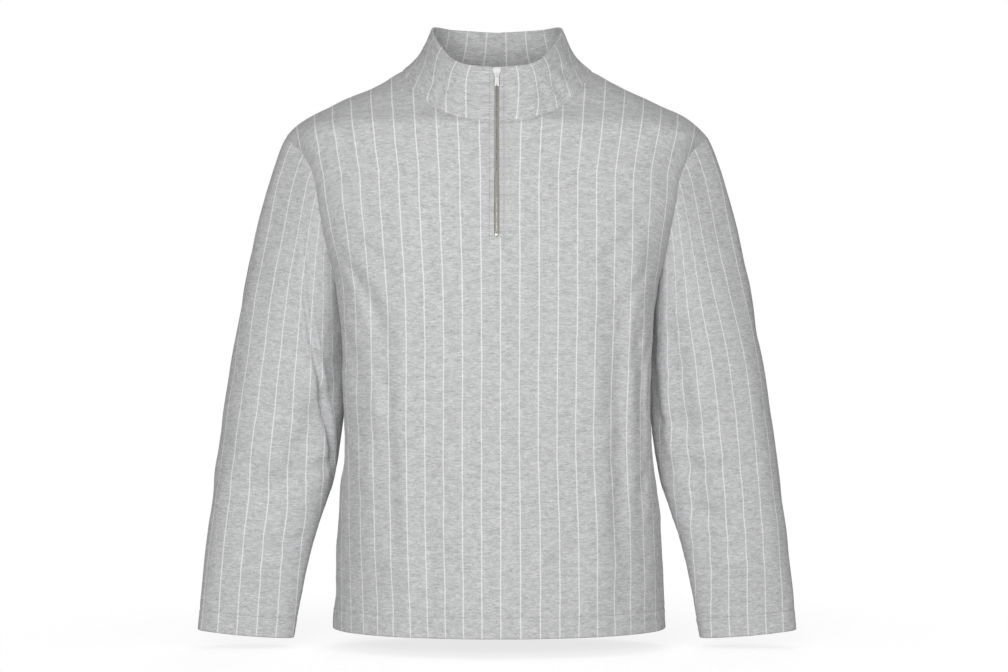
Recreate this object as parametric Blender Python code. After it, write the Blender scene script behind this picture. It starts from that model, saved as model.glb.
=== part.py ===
"""Quarter-zip sweatshirt of heavy jersey, filled out as it is worn, with nobody in it.

Metres, +Z up. The chest faces -Y and +X is the right of someone looking at it. The origin is the
middle of the neck's base, where a wearer carries the garment.

The body is a stack of level sections, the armholes are cut out of it, and the sleeves are rings
that start on the armholes. Neighbouring pieces share their seam points and the direction of the
wall there, and then each piece steps back from the seam by SEAM_GAP.
"""

import math

import bmesh
import bpy
import numpy as np
from mathutils import Matrix

MM = 0.001

# Driving sizes
HEM_HEIGHT = -678 * MM
SEAM_Y = 8 * MM  # the side seams and the shoulder tips lie this far behind the neck's middle
CLOTH = 2.0 * MM
DOUBLED = 3.2 * MM  # hem, cuffs, collar and the turned edges beside the zip
HEM_BAND = 25 * MM
BAND_STEP = 1.5 * MM
SEAM_GAP = 0.17 * MM  # each piece steps back this far from its seam line

ARMHOLE_TOP = -77 * MM
ARMHOLE_BOTTOM = -288 * MM
# Places round half an armhole, from its top, in degrees. Level rows meet it up to the yoke.
YOKE_ANGLE = math.radians(60)
LOW_ANGLES = np.radians((180, 155, 136, 120, 105, 90, 75, 60))

HALF_COLUMNS = 12
NECK_COLUMNS = 6  # of those, the ones that end on the neckline and not on the shoulder
LOWER_ROWS = 11
UPPER_ROWS = 4
SLEEVE_RINGS = 15
COLLAR_ROWS = (0, 0.15, 0.35, 0.6, 0.85, 1)

SLIT_HALF = 2.4 * MM
SLIT_END = -205.5 * MM

SQUARE = "squareness"
SHARE = "share"


def table(columns, *rows):
    """A table given in millimetres, as metres by column name. Ratios keep their value."""
    names = columns.split()
    values = np.array(rows, float)
    return {
        name: values[:, i] * (1 if name in (SQUARE, SHARE) else MM)
        for i, name in enumerate(names)
    }


# Level sections of the body. left and right are half widths, front and back are depths from
# SEAM_Y, and hollow is how far the side sinks where the arm lies against it.
BODY = table(
    "height left right front back squareness hollow",
    (2.5, 116, 116, 33, 36, 2.0, 0),
    (-5, 127, 127, 48, 80, 2.0, 0),
    (-13, 140, 140, 58, 88, 2.05, 0),
    (-22, 159, 159, 66, 94, 2.1, 0),
    (-31, 179, 179, 73, 98, 2.2, 0),
    (-42, 202, 202, 80, 101, 2.3, 0),
    (-55, 228, 228, 91, 103, 2.35, 0),
    (-65.5, 243, 243, 102, 105, 2.4, 0),
    (-77, 256, 256, 106, 106, 2.45, 0),
    (-100, 247, 247, 113, 108, 2.5, 0),
    (-130, 239, 239, 120, 109, 2.6, 0),
    (-165, 230, 230, 126, 109, 2.8, 0),
    (-205, 216, 216, 130, 107, 3.0, 0),
    (-250, 202, 202, 131, 104, 3.1, 8),
    (-288, 197, 197, 131, 101, 3.1, 13),
    (-330, 196, 196, 129, 96, 3.0, 20),
    (-400, 196, 196, 127, 91, 2.8, 20),
    (-450, 194, 197, 125, 89, 2.55, 13),
    (-500, 194, 198, 124, 90, 2.35, 4),
    (-560, 195, 200, 124, 92, 2.2, 0),
    (-620, 197, 203, 125, 95, 2.1, 0),
    (-678, 200, 206, 126, 97, 2.05, 0),
)
HOLLOW_WIDTH = 45 * MM

SHOULDER = table(
    "out height",
    (116, 2.5),
    (140, -13),
    (159, -22),
    (181, -32),
    (204, -43),
    (228, -55),
    (243, -65.5),
    (256, -77),
)
NECKLINE_FRONT = table(
    "out height",
    (2.4, -66),
    (24, -65),
    (50, -60),
    (74, -49),
    (91, -34),
    (105, -18),
    (116, 2.5),
)
NECKLINE_BACK = table("out height", (0, -5), (45, -4), (85, -1), (116, 2.5))

# The armhole seen from the side is an oval, a little flatter towards the underarm.
ARMHOLE = {"front_top": 78 * MM, "front_low": 58 * MM, "back_top": 72 * MM, "back_low": 60 * MM}

# The sleeve's outer and inner edges seen from the front, from the armhole down to the cuff.
SLEEVE_OUTER = table(
    "out height",
    (256, -77),
    (262, -90),
    (269, -108),
    (286, -162),
    (300, -219),
    (310, -266),
    (325, -350),
    (336.5, -425),
    (343, -475),
    (349, -522),
    (355, -574),
    (360, -621),
    (365, -680),
)
SLEEVE_INNER = table(
    "out height",
    (184, -288),
    (183.5, -315),
    (183.5, -351),
    (186, -400),
    (192, -455),
    (200, -500),
    (213, -540),
    (224, -574),
    (235.5, -626),
    (247, -690),
)
SLEEVE_DEPTH = table(
    "from_cuff front back middle squareness",
    (0, 24, 24, 0, 2.0),
    (25, 26, 25, 1, 2.0),
    (100, 36, 34, 6, 2.05),
    (200, 50, 48, 14, 2.1),
    (260, 56, 53, 16, 2.1),
    (330, 64, 59, 14, 2.05),
    (410, 75, 68, 8, 2.0),
)
ARMHOLE_FADE = 150 * MM  # how far down the sleeve the armhole's own shape dies away

# The collar's top edge, round one half from the zip to the middle of the back.
COLLAR_TOP = table(
    "share out across height",
    (0.00, 0, -75, -1),
    (0.12, 21, -73.5, 0.5),
    (0.22, 38, -69, 3),
    (0.31, 52, -58, 10),
    (0.40, 64, -40, 23),
    (0.48, 73, -18, 37),
    (0.56, 78.5, 5, 50),
    (0.66, 78, 26, 58),
    (0.80, 57, 57, 58.5),
    (1.00, 0, 75, 57),
)
COLLAR_HOLLOW = 5.5 * MM  # how far the collar's side curves in below a straight line

# Soft folds: where each runs, in millimetres from the panel's middle and in height, and how far
# it stands out (or sinks, if negative).
FRONT_FOLDS = table(
    "top_out top bottom_out bottom width depth",
    (-108, -170, -112, -640, 20, 4.5),
    (-86, -260, -84, -660, 17, -3.5),
    (-150, -300, -158, -600, 22, 3.0),
    (138, -180, 152, -560, 19, -5.0),
    (162, -210, 176, -520, 15, 5.5),
    (118, -240, 122, -650, 22, 3.5),
    (40, -330, 52, -670, 26, 2.0),
    (-30, -300, -36, -670, 26, 2.0),
)
BACK_FOLDS = table(
    "top_out top bottom_out bottom width depth",
    (-95, -180, -120, -650, 22, 4.5),
    (100, -170, 116, -640, 20, 4.5),
    (-60, -300, -66, -670, 24, -3.5),
    (70, -330, 60, -660, 24, -3.0),
    (8, -250, 14, -670, 30, 3.0),
    (150, -260, 165, -560, 18, -4.5),
    (-150, -240, -168, -580, 18, -4.5),
)
FOLD_CALM = 35 * MM  # folds die away this close to the side seams
# On a sleeve a fold's place is an angle round it from the outer edge (front positive) and its
# reach is a distance from the cuff.
LEFT_SLEEVE_FOLDS = (
    # top_angle, top, bottom_angle, bottom, width, depth
    (150, 330 * MM, 95, 150 * MM, 16 * MM, -5.5 * MM),
    (128, 360 * MM, 78, 190 * MM, 18 * MM, 4.5 * MM),
    (60, 300 * MM, 50, 40 * MM, 20 * MM, 3.0 * MM),
    (-120, 320 * MM, -70, 160 * MM, 18 * MM, -4.5 * MM),
    (-60, 380 * MM, -50, 60 * MM, 20 * MM, 3.5 * MM),
)
RIGHT_SLEEVE_FOLDS = (
    (120, 390 * MM, 118, 120 * MM, 16 * MM, -5.0 * MM),
    (92, 370 * MM, 96, 60 * MM, 18 * MM, 4.0 * MM),
    (48, 280 * MM, 55, 50 * MM, 20 * MM, 2.5 * MM),
    (-110, 330 * MM, -80, 150 * MM, 18 * MM, -4.5 * MM),
    (-50, 370 * MM, -55, 80 * MM, 20 * MM, 3.5 * MM),
)

# Zip
TAPE_CLEAR = 0.3 * MM
TAPE_THICK = 1.0 * MM
TAPE_INNER = 1.8 * MM
TAPE_REACH = 0.55  # of the way to the panel's next column
CHAIN_HALF = 2.0 * MM
CHAIN_FRONT = 0.5 * MM
CHAIN_BACK = 3.1 * MM
CHAIN_LOW = -200.6 * MM  # height of the chain's lower end
CHAIN_END = 9.5 * MM  # its upper end, down from the collar's top edge
STOP_MIDDLE = -203.0 * MM
STOP_TALL = 3.2 * MM
STOP_PROUD = 0.5 * MM

# Slider and pull. Along is measured down from the collar's top edge, out from its cloth.
PLATE_OUT = 0.4 * MM
PLATE_THICK = 1.4 * MM
BACK_PLATE_IN = 5.4 * MM
BACK_PLATE_THICK = 1.2 * MM
POST_HALF = 1.3 * MM
HINGE_ALONG = 11.3 * MM
HINGE_OUT = 2.8 * MM
BAIL_INNER = 0.95 * MM
BAIL_OUTER = 1.95 * MM
BAIL_WIDE = 1.2 * MM
BAR_HALF = 0.5 * MM
PULL_LENGTH = 15.4 * MM
PULL_HALF = 2.85 * MM
PULL_SLOT_HALF = 1.1 * MM
PULL_SLOT_END = 3.6 * MM

COLOURS = {
    # name: (colour, roughness, metallic)
    "jersey": ((0.55, 0.56, 0.58), 0.9, 0.0),
    "zip_tape": ((0.42, 0.41, 0.38), 0.85, 0.0),
    "zip_teeth": ((0.16, 0.16, 0.13), 0.35, 0.9),
    "bright_metal": ((0.86, 0.86, 0.84), 0.22, 1.0),
}


# Curves through short tables


def smooth(places, values, at):
    """Cubic curve through a table's rows, with each row's slope taken from its neighbours."""
    order = np.argsort(places)
    p, v = places[order], values[order]
    slope = np.gradient(v, p)
    at = np.clip(at, p[0], p[-1])
    i = np.clip(np.searchsorted(p, at) - 1, 0, len(p) - 2)
    gap = p[i + 1] - p[i]
    t = (at - p[i]) / gap
    return (
        (1 + 2 * t) * (1 - t) ** 2 * v[i]
        + t * (1 - t) ** 2 * gap * slope[i]
        + t**2 * (3 - 2 * t) * v[i + 1]
        + t**2 * (t - 1) * gap * slope[i + 1]
    )


def lengths(points):
    """Distance along a line of points, starting from 0."""
    steps = np.linalg.norm(np.diff(points, axis=0), axis=1)
    return np.concatenate([[0], np.cumsum(steps)])


def spread(points, count):
    """count + 1 points at even distances along a line of points."""
    along = lengths(points)
    at = np.linspace(0, along[-1], count + 1)
    return at_distance(points, along, at)


def at_distance(points, along, at):
    """The points at the given distances along a line."""
    return np.stack([np.interp(at, along, p) for p in points.T], axis=-1)


def fine_edge(rows):
    """A smooth (out, height) edge through a table, as close points."""
    points = np.stack([rows["out"], rows["height"]], axis=1)
    along = lengths(points)
    at = np.linspace(0, along[-1], 200)
    return np.stack([smooth(along, p, at) for p in points.T], axis=1)


def ease(x):
    x = np.clip(x, 0, 1)
    return x * x * (3 - 2 * x)


# The body's form


def body(name, height):
    return smooth(BODY["height"], BODY[name], height)


def depth_at(out, height, face):
    """How far from SEAM_Y the cloth lies at a height, a distance out from the middle."""
    ratio = np.clip(out / body("right", height), 0, 1)
    power = body(SQUARE, height)
    return body(face, height) * (1 - ratio**power) ** (1 / power)


def section(height, side, face, start=0.0):
    """A level line of (out, from SEAM_Y) points, from the middle of a panel to its side."""
    turn = np.linspace(0, math.pi / 2, 240)
    power = 2 / body(SQUARE, height)
    out = body(side, height) * np.sin(turn) ** power
    away = body(face, height) * np.cos(turn) ** power
    out -= body("hollow", height) * np.exp(-((away / HOLLOW_WIDTH) ** 2))
    away_at_start = np.interp(start, out[:120], away[:120])
    keep = out > start
    line = np.stack([out[keep], away[keep]], axis=1)
    return np.concatenate([[[start, away_at_start]], line])


def armhole_height(angle):
    middle = (ARMHOLE_TOP + ARMHOLE_BOTTOM) / 2
    return middle + (ARMHOLE_TOP - middle) * np.cos(angle)


def armhole_depth(angle, face):
    """Distance from SEAM_Y of the armhole seam, for angles from the top to the underarm."""
    top, low = ARMHOLE[face + "_top"], ARMHOLE[face + "_low"]
    return (top + (low - top) * ease(angle / math.pi)) * np.sin(angle)


def cut_at(line, away):
    """The part of a section from its middle to where it comes within away of SEAM_Y."""
    stop = int(np.argmax(line[:, 1] < away))
    if line[stop, 1] >= away:
        return line
    a, b = line[stop - 1], line[stop]
    end = a + (b - a) * (a[1] - away) / (a[1] - b[1])
    return np.concatenate([line[:stop], [end]])


def fold_push(folds, out, height):
    """How far the folds move the cloth outward."""
    push = 0.0
    for top_out, top, bottom_out, bottom, width, depth in zip(*folds.values(), strict=True):
        down = (height - top) / (bottom - top)
        place = top_out + (bottom_out - top_out) * np.clip(down, 0, 1)
        reach = ease(down / 0.25) * ease((1.12 - down) / 0.25)
        push = push + depth * reach * np.exp(-(((out - place) / width) ** 2))
    return push


def panel_rows(face):
    """Heights of the level rows from the hem to the yoke, with the armhole angle of each."""
    lower = np.linspace(HEM_HEIGHT + HEM_BAND + BAND_STEP, ARMHOLE_BOTTOM, LOWER_ROWS + 1)
    heights = [HEM_HEIGHT, HEM_HEIGHT + HEM_BAND, *lower[:-1]]
    angles = [math.pi] * len(heights)
    steps = LOW_ANGLES
    if face == "front":
        middle = (ARMHOLE_TOP + ARMHOLE_BOTTOM) / 2
        slit_angle = math.acos((SLIT_END - middle) / (ARMHOLE_TOP - middle))
        steps = np.sort(np.append(steps, slit_angle))[::-1]
    heights += list(armhole_height(steps))
    angles += list(steps)
    return np.array(heights), np.array(angles)


def top_edge(neckline):
    """(out, height) of a half panel's top, from the middle along the neckline and shoulder."""
    neck = spread(fine_edge(neckline), NECK_COLUMNS)
    shoulder = spread(fine_edge(SHOULDER), HALF_COLUMNS - NECK_COLUMNS)
    return np.concatenate([neck, shoulder[1:]])


def half_panel(face, side):
    """Half a front or back as rows of points, hem first, each row from the middle outward."""
    sign = -1 if face == "front" else 1
    heights, angles = panel_rows(face)
    share = np.linspace(0, 1, HALF_COLUMNS + 1)
    full = lengths(section(ARMHOLE_BOTTOM, side, face))[-1]
    rows = []
    for height, angle in zip(heights, angles, strict=True):
        open_here = face == "front" and height > SLIT_END - MM / 10
        line = section(height, side, face, SLIT_HALF if open_here else 0.0)
        line = cut_at(line, armhole_depth(angle, face))
        along = lengths(line)
        # The armhole takes its width from the columns nearest to it, so the others run straight.
        if angle < math.pi:
            at = full * share - (full - along[-1]) * share**3
        else:
            at = along[-1] * share
        rows.append(np.insert(at_distance(line, along, at), 2, height, axis=1))
    rows = np.array(rows)

    top = top_edge(NECKLINE_FRONT if face == "front" else NECKLINE_BACK)
    columns = []
    for i, low in enumerate(rows[-1]):
        rise = 1 - np.linspace(1, 0, 80) ** 2
        out = low[0] + (top[i, 0] - low[0]) * rise
        height = low[2] + (top[i, 1] - low[2]) * rise
        line = np.stack([out, depth_at(out, height, face), height], axis=1)
        line[0] = low
        if i >= NECK_COLUMNS:
            line[-1, 1] = 0
        columns.append(spread(line, UPPER_ROWS))
    edge_angles = np.linspace(YOKE_ANGLE, 0, UPPER_ROWS + 1)
    edge = columns[-1]
    edge[:, 1] = armhole_depth(edge_angles, face)
    edge[:, 2] = armhole_height(edge_angles)
    edge[0] = rows[-1][-1]
    for k in range(1, UPPER_ROWS):
        line = section(edge[k, 2], side, face)
        edge[k, 0] = cut_at(line, edge[k, 1])[-1, 0]
    edge[-1] = (SHOULDER["out"][-1], 0, ARMHOLE_TOP)
    upper = np.array(columns).transpose(1, 0, 2)[1:]
    grid = np.concatenate([rows, upper])

    folds = FRONT_FOLDS if face == "front" else BACK_FOLDS
    mirror = 1 if side == "right" else -1
    reach = body(side, grid[..., 2]) - body("hollow", grid[..., 2])
    calm = ease((reach - grid[..., 0]) / FOLD_CALM)
    grid[..., 1] += fold_push(folds, grid[..., 0] * mirror, grid[..., 2]) * calm
    out = grid[..., 0] * mirror
    return np.stack([out, SEAM_Y + sign * grid[..., 1], grid[..., 2]], axis=-1)


# Sleeves


def ring_middle(name, from_cuff):
    return smooth(SLEEVE_DEPTH["from_cuff"], SLEEVE_DEPTH[name], from_cuff)


def sleeve(loop, angles, folds):
    """Rings from an armhole loop down to the cuff, on the right-hand side of the body."""
    outer, inner = fine_edge(SLEEVE_OUTER), fine_edge(SLEEVE_INNER)
    inner[0, 0] = loop[np.argmin(loop[:, 2]), 0]
    outer_along, inner_along = lengths(outer), lengths(inner)
    longest, shortest = outer_along[-1], inner_along[-1]
    main = np.linspace(shortest, HEM_BAND + BAND_STEP, SLEEVE_RINGS + 1)
    from_cuff = np.append(main, [HEM_BAND, 0])
    rings = []
    for distance in from_cuff:
        down_inner = shortest - distance
        extra = (longest - shortest) * (distance / shortest) ** 2
        down_outer = longest - distance - extra
        a = at_distance(outer, outer_along, down_outer)
        b = at_distance(inner, inner_along, down_inner)
        power = 2 / ring_middle(SQUARE, distance)
        along = np.sign(np.cos(angles)) * np.abs(np.cos(angles)) ** power
        away = np.sign(np.sin(angles)) * np.abs(np.sin(angles)) ** power
        depth = np.where(
            angles < math.pi, ring_middle("front", distance), ring_middle("back", distance)
        )
        spot = (a + b) / 2 + (a - b) / 2 * along[:, None]
        across = ring_middle("middle", distance) - depth * away
        rings.append(np.stack([spot[:, 0], across, spot[:, 1]], axis=1))
    rings = np.array(rings)
    reach = (from_cuff - shortest + ARMHOLE_FADE) / ARMHOLE_FADE
    rings += (loop - rings[0]) * ease(reach)[:, None, None]
    return push_sleeve(rings, from_cuff, angles, folds)


def push_sleeve(rings, from_cuff, angles, folds):
    """Moves the rings' points in or out where a fold runs."""
    middle = rings.mean(axis=1, keepdims=True)
    ray = rings - middle
    radius = np.linalg.norm(ray, axis=2, keepdims=True)
    push = np.zeros(rings.shape[:2])
    signed = np.where(angles > math.pi, angles - 2 * math.pi, angles)
    for top_angle, top, bottom_angle, bottom, width, depth in folds:
        down = (top - from_cuff) / (top - bottom)
        place = np.radians(top_angle + (bottom_angle - top_angle) * np.clip(down, 0, 1))
        reach = ease(down / 0.3) * ease((1.2 - down) / 0.3)
        away = np.abs(signed[None, :] - place[:, None]) * radius[..., 0]
        push += depth * reach[:, None] * np.exp(-((away / width) ** 2))
    return rings + ray / radius * push[..., None]


# Collar


def collar(loop):
    """Rows from the neckline loop up to the collar's top edge."""
    half = len(loop) // 2
    along = lengths(loop[: half + 1])
    share = along / along[-1]
    share = np.concatenate([share, share[::-1][1:]])
    side = np.where(np.arange(len(loop)) <= half, 1, -1)
    top = np.stack(
        [
            smooth(COLLAR_TOP[SHARE], COLLAR_TOP["out"], share) * side,
            smooth(COLLAR_TOP[SHARE], COLLAR_TOP["across"], share),
            smooth(COLLAR_TOP[SHARE], COLLAR_TOP["height"], share),
        ],
        axis=1,
    )
    top[0, 0], top[-1, 0] = SLIT_HALF, -SLIT_HALF
    inward = -np.stack([loop[:, 0], loop[:, 1], 0 * share], axis=1)
    inward /= np.linalg.norm(inward, axis=1, keepdims=True)
    bend = COLLAR_HOLLOW * ease(share / 0.45)
    rows = []
    for up in COLLAR_ROWS:
        curve = 27 / 4 * up * (1 - up) ** 2
        rows.append(loop + (top - loop) * up + inward * (bend * curve)[:, None])
    return np.array(rows)


# Cloth walls


def welded(grids, walls):
    """Joins grids of points into one open surface of triangles, with a wall for each point."""
    points, wall, faces, found = [], [], [], {}
    for grid, thick in zip(grids, walls, strict=True):
        index = np.zeros(grid.shape[:2], int)
        for place in np.ndindex(*grid.shape[:2]):
            key = spot_key(grid[place])
            if key not in found:
                found[key] = len(points)
                points.append(grid[place])
                wall.append(thick[place])
            index[place] = found[key]
        for r in range(grid.shape[0] - 1):
            for c in range(grid.shape[1] - 1):
                a, b = index[r, c], index[r, c + 1]
                d, e = index[r + 1, c], index[r + 1, c + 1]
                if gap_between(points, a, e) < gap_between(points, b, d):
                    corners = ((a, b, e), (a, e, d))
                else:
                    corners = ((a, b, d), (b, e, d))
                faces += [f for f in corners if len(set(f)) == 3]
    return np.array(points), np.array(wall), faces


def gap_between(points, a, b):
    return np.linalg.norm(points[a] - points[b])


def spot_key(point):
    return tuple(np.round(np.asarray(point) / (0.01 * MM)).astype(int))


def unit(v):
    return v / max(np.linalg.norm(v), 1e-12)


def add_normals(total, points, faces):
    """Adds each corner's face direction, weighted by its angle, to the sum for that spot."""
    for face in faces:
        p = points[list(face)]
        direction = unit(np.cross(p[1] - p[0], p[2] - p[0]))
        for i in range(3):
            ahead, behind = unit(p[(i + 1) % 3] - p[i]), unit(p[i - 1] - p[i])
            angle = math.acos(np.clip(ahead @ behind, -1, 1))
            key = spot_key(p[i])
            total[key] = total.get(key, 0) + direction * angle


def underarm_down(total):
    """At the underarm the body and the sleeve face each other, so their wall points down."""
    for key, direction in total.items():
        height = key[2] * 0.01 * MM
        near = ease((ARMHOLE_BOTTOM + 30 * MM - height) / (30 * MM))
        if key in underarm_spots:
            total[key] = unit(direction) * (1 - near) + np.array([0, 0, -1.0]) * near


underarm_spots = set()


def edges_of(faces):
    """Directed edges that belong to one face only, with that face."""
    seen = {}
    for face in faces:
        for i in range(3):
            seen[(face[i], face[(i + 1) % 3])] = face
    return {edge: face for edge, face in seen.items() if edge[::-1] not in seen}


def step_back(points, normal, rim, is_seam):
    """Each point's move away from the seams that it lies on."""
    ways = {}
    for (a, b), face in rim.items():
        if not (is_seam[a] and is_seam[b]):
            continue
        into = points[list(face)].mean(axis=0) - (points[a] + points[b]) / 2
        for i in (a, b):
            line = unit(points[b] - points[a])
            way = into - line * (into @ line)
            way = unit(way - normal[i] * (way @ normal[i]))
            ways.setdefault(i, []).append(way)
    move = np.zeros_like(points)
    for i, found in ways.items():
        total = sum(found)
        if len(found) == 2:
            total = total / (1 + max(found[0] @ found[1], -0.5))
        move[i] = total * SEAM_GAP
    return move


def cloth(name, surface, total, owners):
    """A closed wall on the inner side of an open surface."""
    points, wall, faces = surface
    normal = np.array([unit(total[spot_key(p)]) for p in points])
    is_seam = np.array([len(owners[spot_key(p)]) > 1 for p in points])
    rim = edges_of(faces)
    moved = points + step_back(points, normal, rim, is_seam)
    inner = moved - normal * wall[:, None]
    n = len(points)
    solid = list(faces)
    solid += [tuple(i + n for i in reversed(face)) for face in faces]
    for a, b in rim:
        solid += [(b, a, a + n), (b, a + n, b + n)]
    return add_mesh(name, np.concatenate([moved, inner]), solid, "jersey")


def full_panel(face):
    """Both halves of a front or back, each left to right as seen from outside."""
    left, right = half_panel(face, "left"), half_panel(face, "right")
    halves = (left[:, ::-1], right) if face == "front" else (right[:, ::-1], left)
    heights, _ = panel_rows(face)
    walls = []
    for grid in halves:
        wall = np.full(grid.shape[:2], CLOTH)
        wall[:2] = DOUBLED
        if face == "front":
            middle = -1 if grid is halves[0] else 0
            wall[np.append(heights, [0] * UPPER_ROWS) > SLIT_END - MM / 10, middle] = DOUBLED
        walls.append(wall)
    return halves, walls, left, right


def armhole_loop(front, back):
    """Seam points from the shoulder tip down the front and back up to the tip."""
    heights, _ = panel_rows("front")
    first = int(np.argmax(heights > ARMHOLE_BOTTOM - MM / 10))
    down = front[first:, -1][::-1]
    heights, _ = panel_rows("back")
    first = int(np.argmax(heights > ARMHOLE_BOTTOM - MM / 10))
    up = back[first:, -1]
    return np.concatenate([down, up[1:]])


def loop_angles():
    down = np.append(panel_rows("front")[1], np.linspace(YOKE_ANGLE, 0, UPPER_ROWS + 1)[1:])
    up = np.append(panel_rows("back")[1], np.linspace(YOKE_ANGLE, 0, UPPER_ROWS + 1)[1:])
    down = down[np.argmax(down < math.pi) - 1 :][::-1]
    up = up[np.argmax(up < math.pi) - 1 :]
    return np.concatenate([down, 2 * math.pi - up[1:]])


def sleeve_grid(front, back, mirror, folds):
    loop = armhole_loop(front, back) * (mirror, 1, 1)
    rings = sleeve(loop, loop_angles(), folds)
    grid = rings * (mirror, 1, 1)
    grid[:, -1] = grid[:, 0]
    wall = np.full(grid.shape[:2], CLOTH)
    wall[-2:] = DOUBLED
    if mirror < 0:
        grid, wall = grid[:, ::-1], wall[:, ::-1]
    return (grid,), (wall,)


def neck_loop(front_left, front_right, back_left, back_right):
    """The neckline from the zip's right edge round the back to its left edge."""
    n = NECK_COLUMNS
    parts = (
        front_right[-1, : n + 1],
        back_right[-1, :n][::-1],
        back_left[-1, 1 : n + 1],
        front_left[-1, :n][::-1],
    )
    return np.concatenate(parts)


# Zip


def zip_rows(half, collar_edge, beside):
    """The cloth's edge beside the zip, and its next column, from below the slit to the top."""
    heights, _ = panel_rows("front")
    first = int(np.argmax(heights > SLIT_END - MM / 10)) - 1
    edge = np.concatenate([half[first:-1, 0], collar_edge])
    next_in = np.concatenate([half[first:-1, 1], beside])
    single = len(half) - 1 - first
    wall = np.array([CLOTH] * single + [DOUBLED] * len(beside))
    return edge, next_in, wall


def zip_tape(name, edge, next_in, wall, side, total):
    """A strip that lies behind the cloth beside the slit."""
    sections = []
    for p, q, thick in zip(edge, next_in, wall, strict=True):
        n, m = unit(total[spot_key(p)]), unit(total[spot_key(q)])
        near = p - n * (DOUBLED + TAPE_CLEAR)
        near[0] = side * TAPE_INNER
        behind_p, behind_q = p - n * DOUBLED, q - m * thick
        far = behind_p + (behind_q - behind_p) * TAPE_REACH - m * TAPE_CLEAR
        sections.append((near, far, far - m * TAPE_THICK, near - n * TAPE_THICK))
    sections = np.array(sections)
    return strip(name, sections if side > 0 else sections[:, ::-1], "zip_tape")


def strip(name, sections, look):
    """A closed solid through four-cornered sections, from its lower end up."""
    count = len(sections)
    faces = []
    for k in range(count - 1):
        for i in range(4):
            a, b = 4 * k + i, 4 * k + (i + 1) % 4
            faces.append((a, b, b + 4, a + 4))
    faces += [(3, 2, 1, 0), tuple(4 * (count - 1) + i for i in range(4))]
    return add_mesh(name, sections.reshape(-1, 3), faces, look)


def zip_line(right_edge, total):
    """The zip's middle line from the collar's top down, with the direction out of it."""
    line = right_edge[::-1] * (0, 1, 1)
    out = np.array([unit(total[spot_key(p)] * (0, 1, 1)) for p in right_edge[::-1]])
    return line, out, lengths(line)


def zip_chain(line, out, along):
    lowest = np.interp(-CHAIN_LOW, -line[:, 2], along)
    inner_rows = along[(along > CHAIN_END + MM) & (along < lowest - MM)]
    stations = np.concatenate([[CHAIN_END], inner_rows, [lowest]])[::-1]
    middle = at_distance(line, along, stations)
    way = at_distance(out, along, stations)
    half = np.array([CHAIN_HALF, 0, 0])
    corners = [
        middle - way * CHAIN_FRONT - half,
        middle - way * CHAIN_FRONT + half,
        middle - way * CHAIN_BACK + half,
        middle - way * CHAIN_BACK - half,
    ]
    return strip("zip_chain", np.stack(corners, axis=1), "zip_teeth")


def tilt_of(line, along, start, end):
    """How far the zip leans back from upright between two distances down it."""
    (a, b) = at_distance(line, along, np.array([start, end]))
    return -math.atan2(a[1] - b[1], a[2] - b[2])


def bottom_stop(line, out, along):
    place = np.interp(-STOP_MIDDLE, -line[:, 2], along)
    middle, way = at_distance(line, along, [place])[0], at_distance(out, along, [place])[0]
    deep = CHAIN_BACK + STOP_PROUD
    bpy.ops.mesh.primitive_cube_add(size=1, location=middle + way * (STOP_PROUD - deep / 2))
    ob = bpy.context.object
    ob.name = ob.data.name = "zip_stop"
    ob.data.transform(Matrix.Diagonal((2 * CHAIN_HALF, deep, STOP_TALL, 1)))
    ob.rotation_euler.x = tilt_of(line, along, place - 5 * MM, place + 5 * MM)
    keep(ob, "bright_metal")


def extruded(name, outline, push, look, group=None):
    """A flat outline pushed along a direction into a closed solid."""
    bm = bmesh.new()
    face = bm.faces.new([bm.verts.new(p) for p in outline])
    made = bmesh.ops.extrude_face_region(bm, geom=[face])["geom"]
    moved = [v for v in made if isinstance(v, bmesh.types.BMVert)]
    bmesh.ops.translate(bm, verts=moved, vec=push)
    bmesh.ops.recalc_face_normals(bm, faces=bm.faces)
    mesh = bpy.data.meshes.new(name)
    bm.to_mesh(mesh)
    bm.free()
    ob = bpy.data.objects.new(name, mesh)
    ob.data.materials.append(material(look))
    (group or collection).objects.link(ob)
    return ob


def facing(outline, out):
    """An outline of (across, down) points, set level with the cloth at a height off it."""
    return [(x, -out, -down) for x, down in outline]


def mirrored(half):
    """The whole of an outline whose right half runs from its top to its bottom."""
    return half + [(-x, down) for x, down in reversed(half) if x > 0]


def combine(ob, other, operation):
    """Joins or cuts with a hidden helper."""
    change = ob.modifiers.new(operation.lower(), "BOOLEAN")
    change.operation = operation
    change.solver = "EXACT"
    change.object = other
    other.parent = ob.parent
    other.hide_render = True
    other.display_type = "WIRE"


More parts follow.
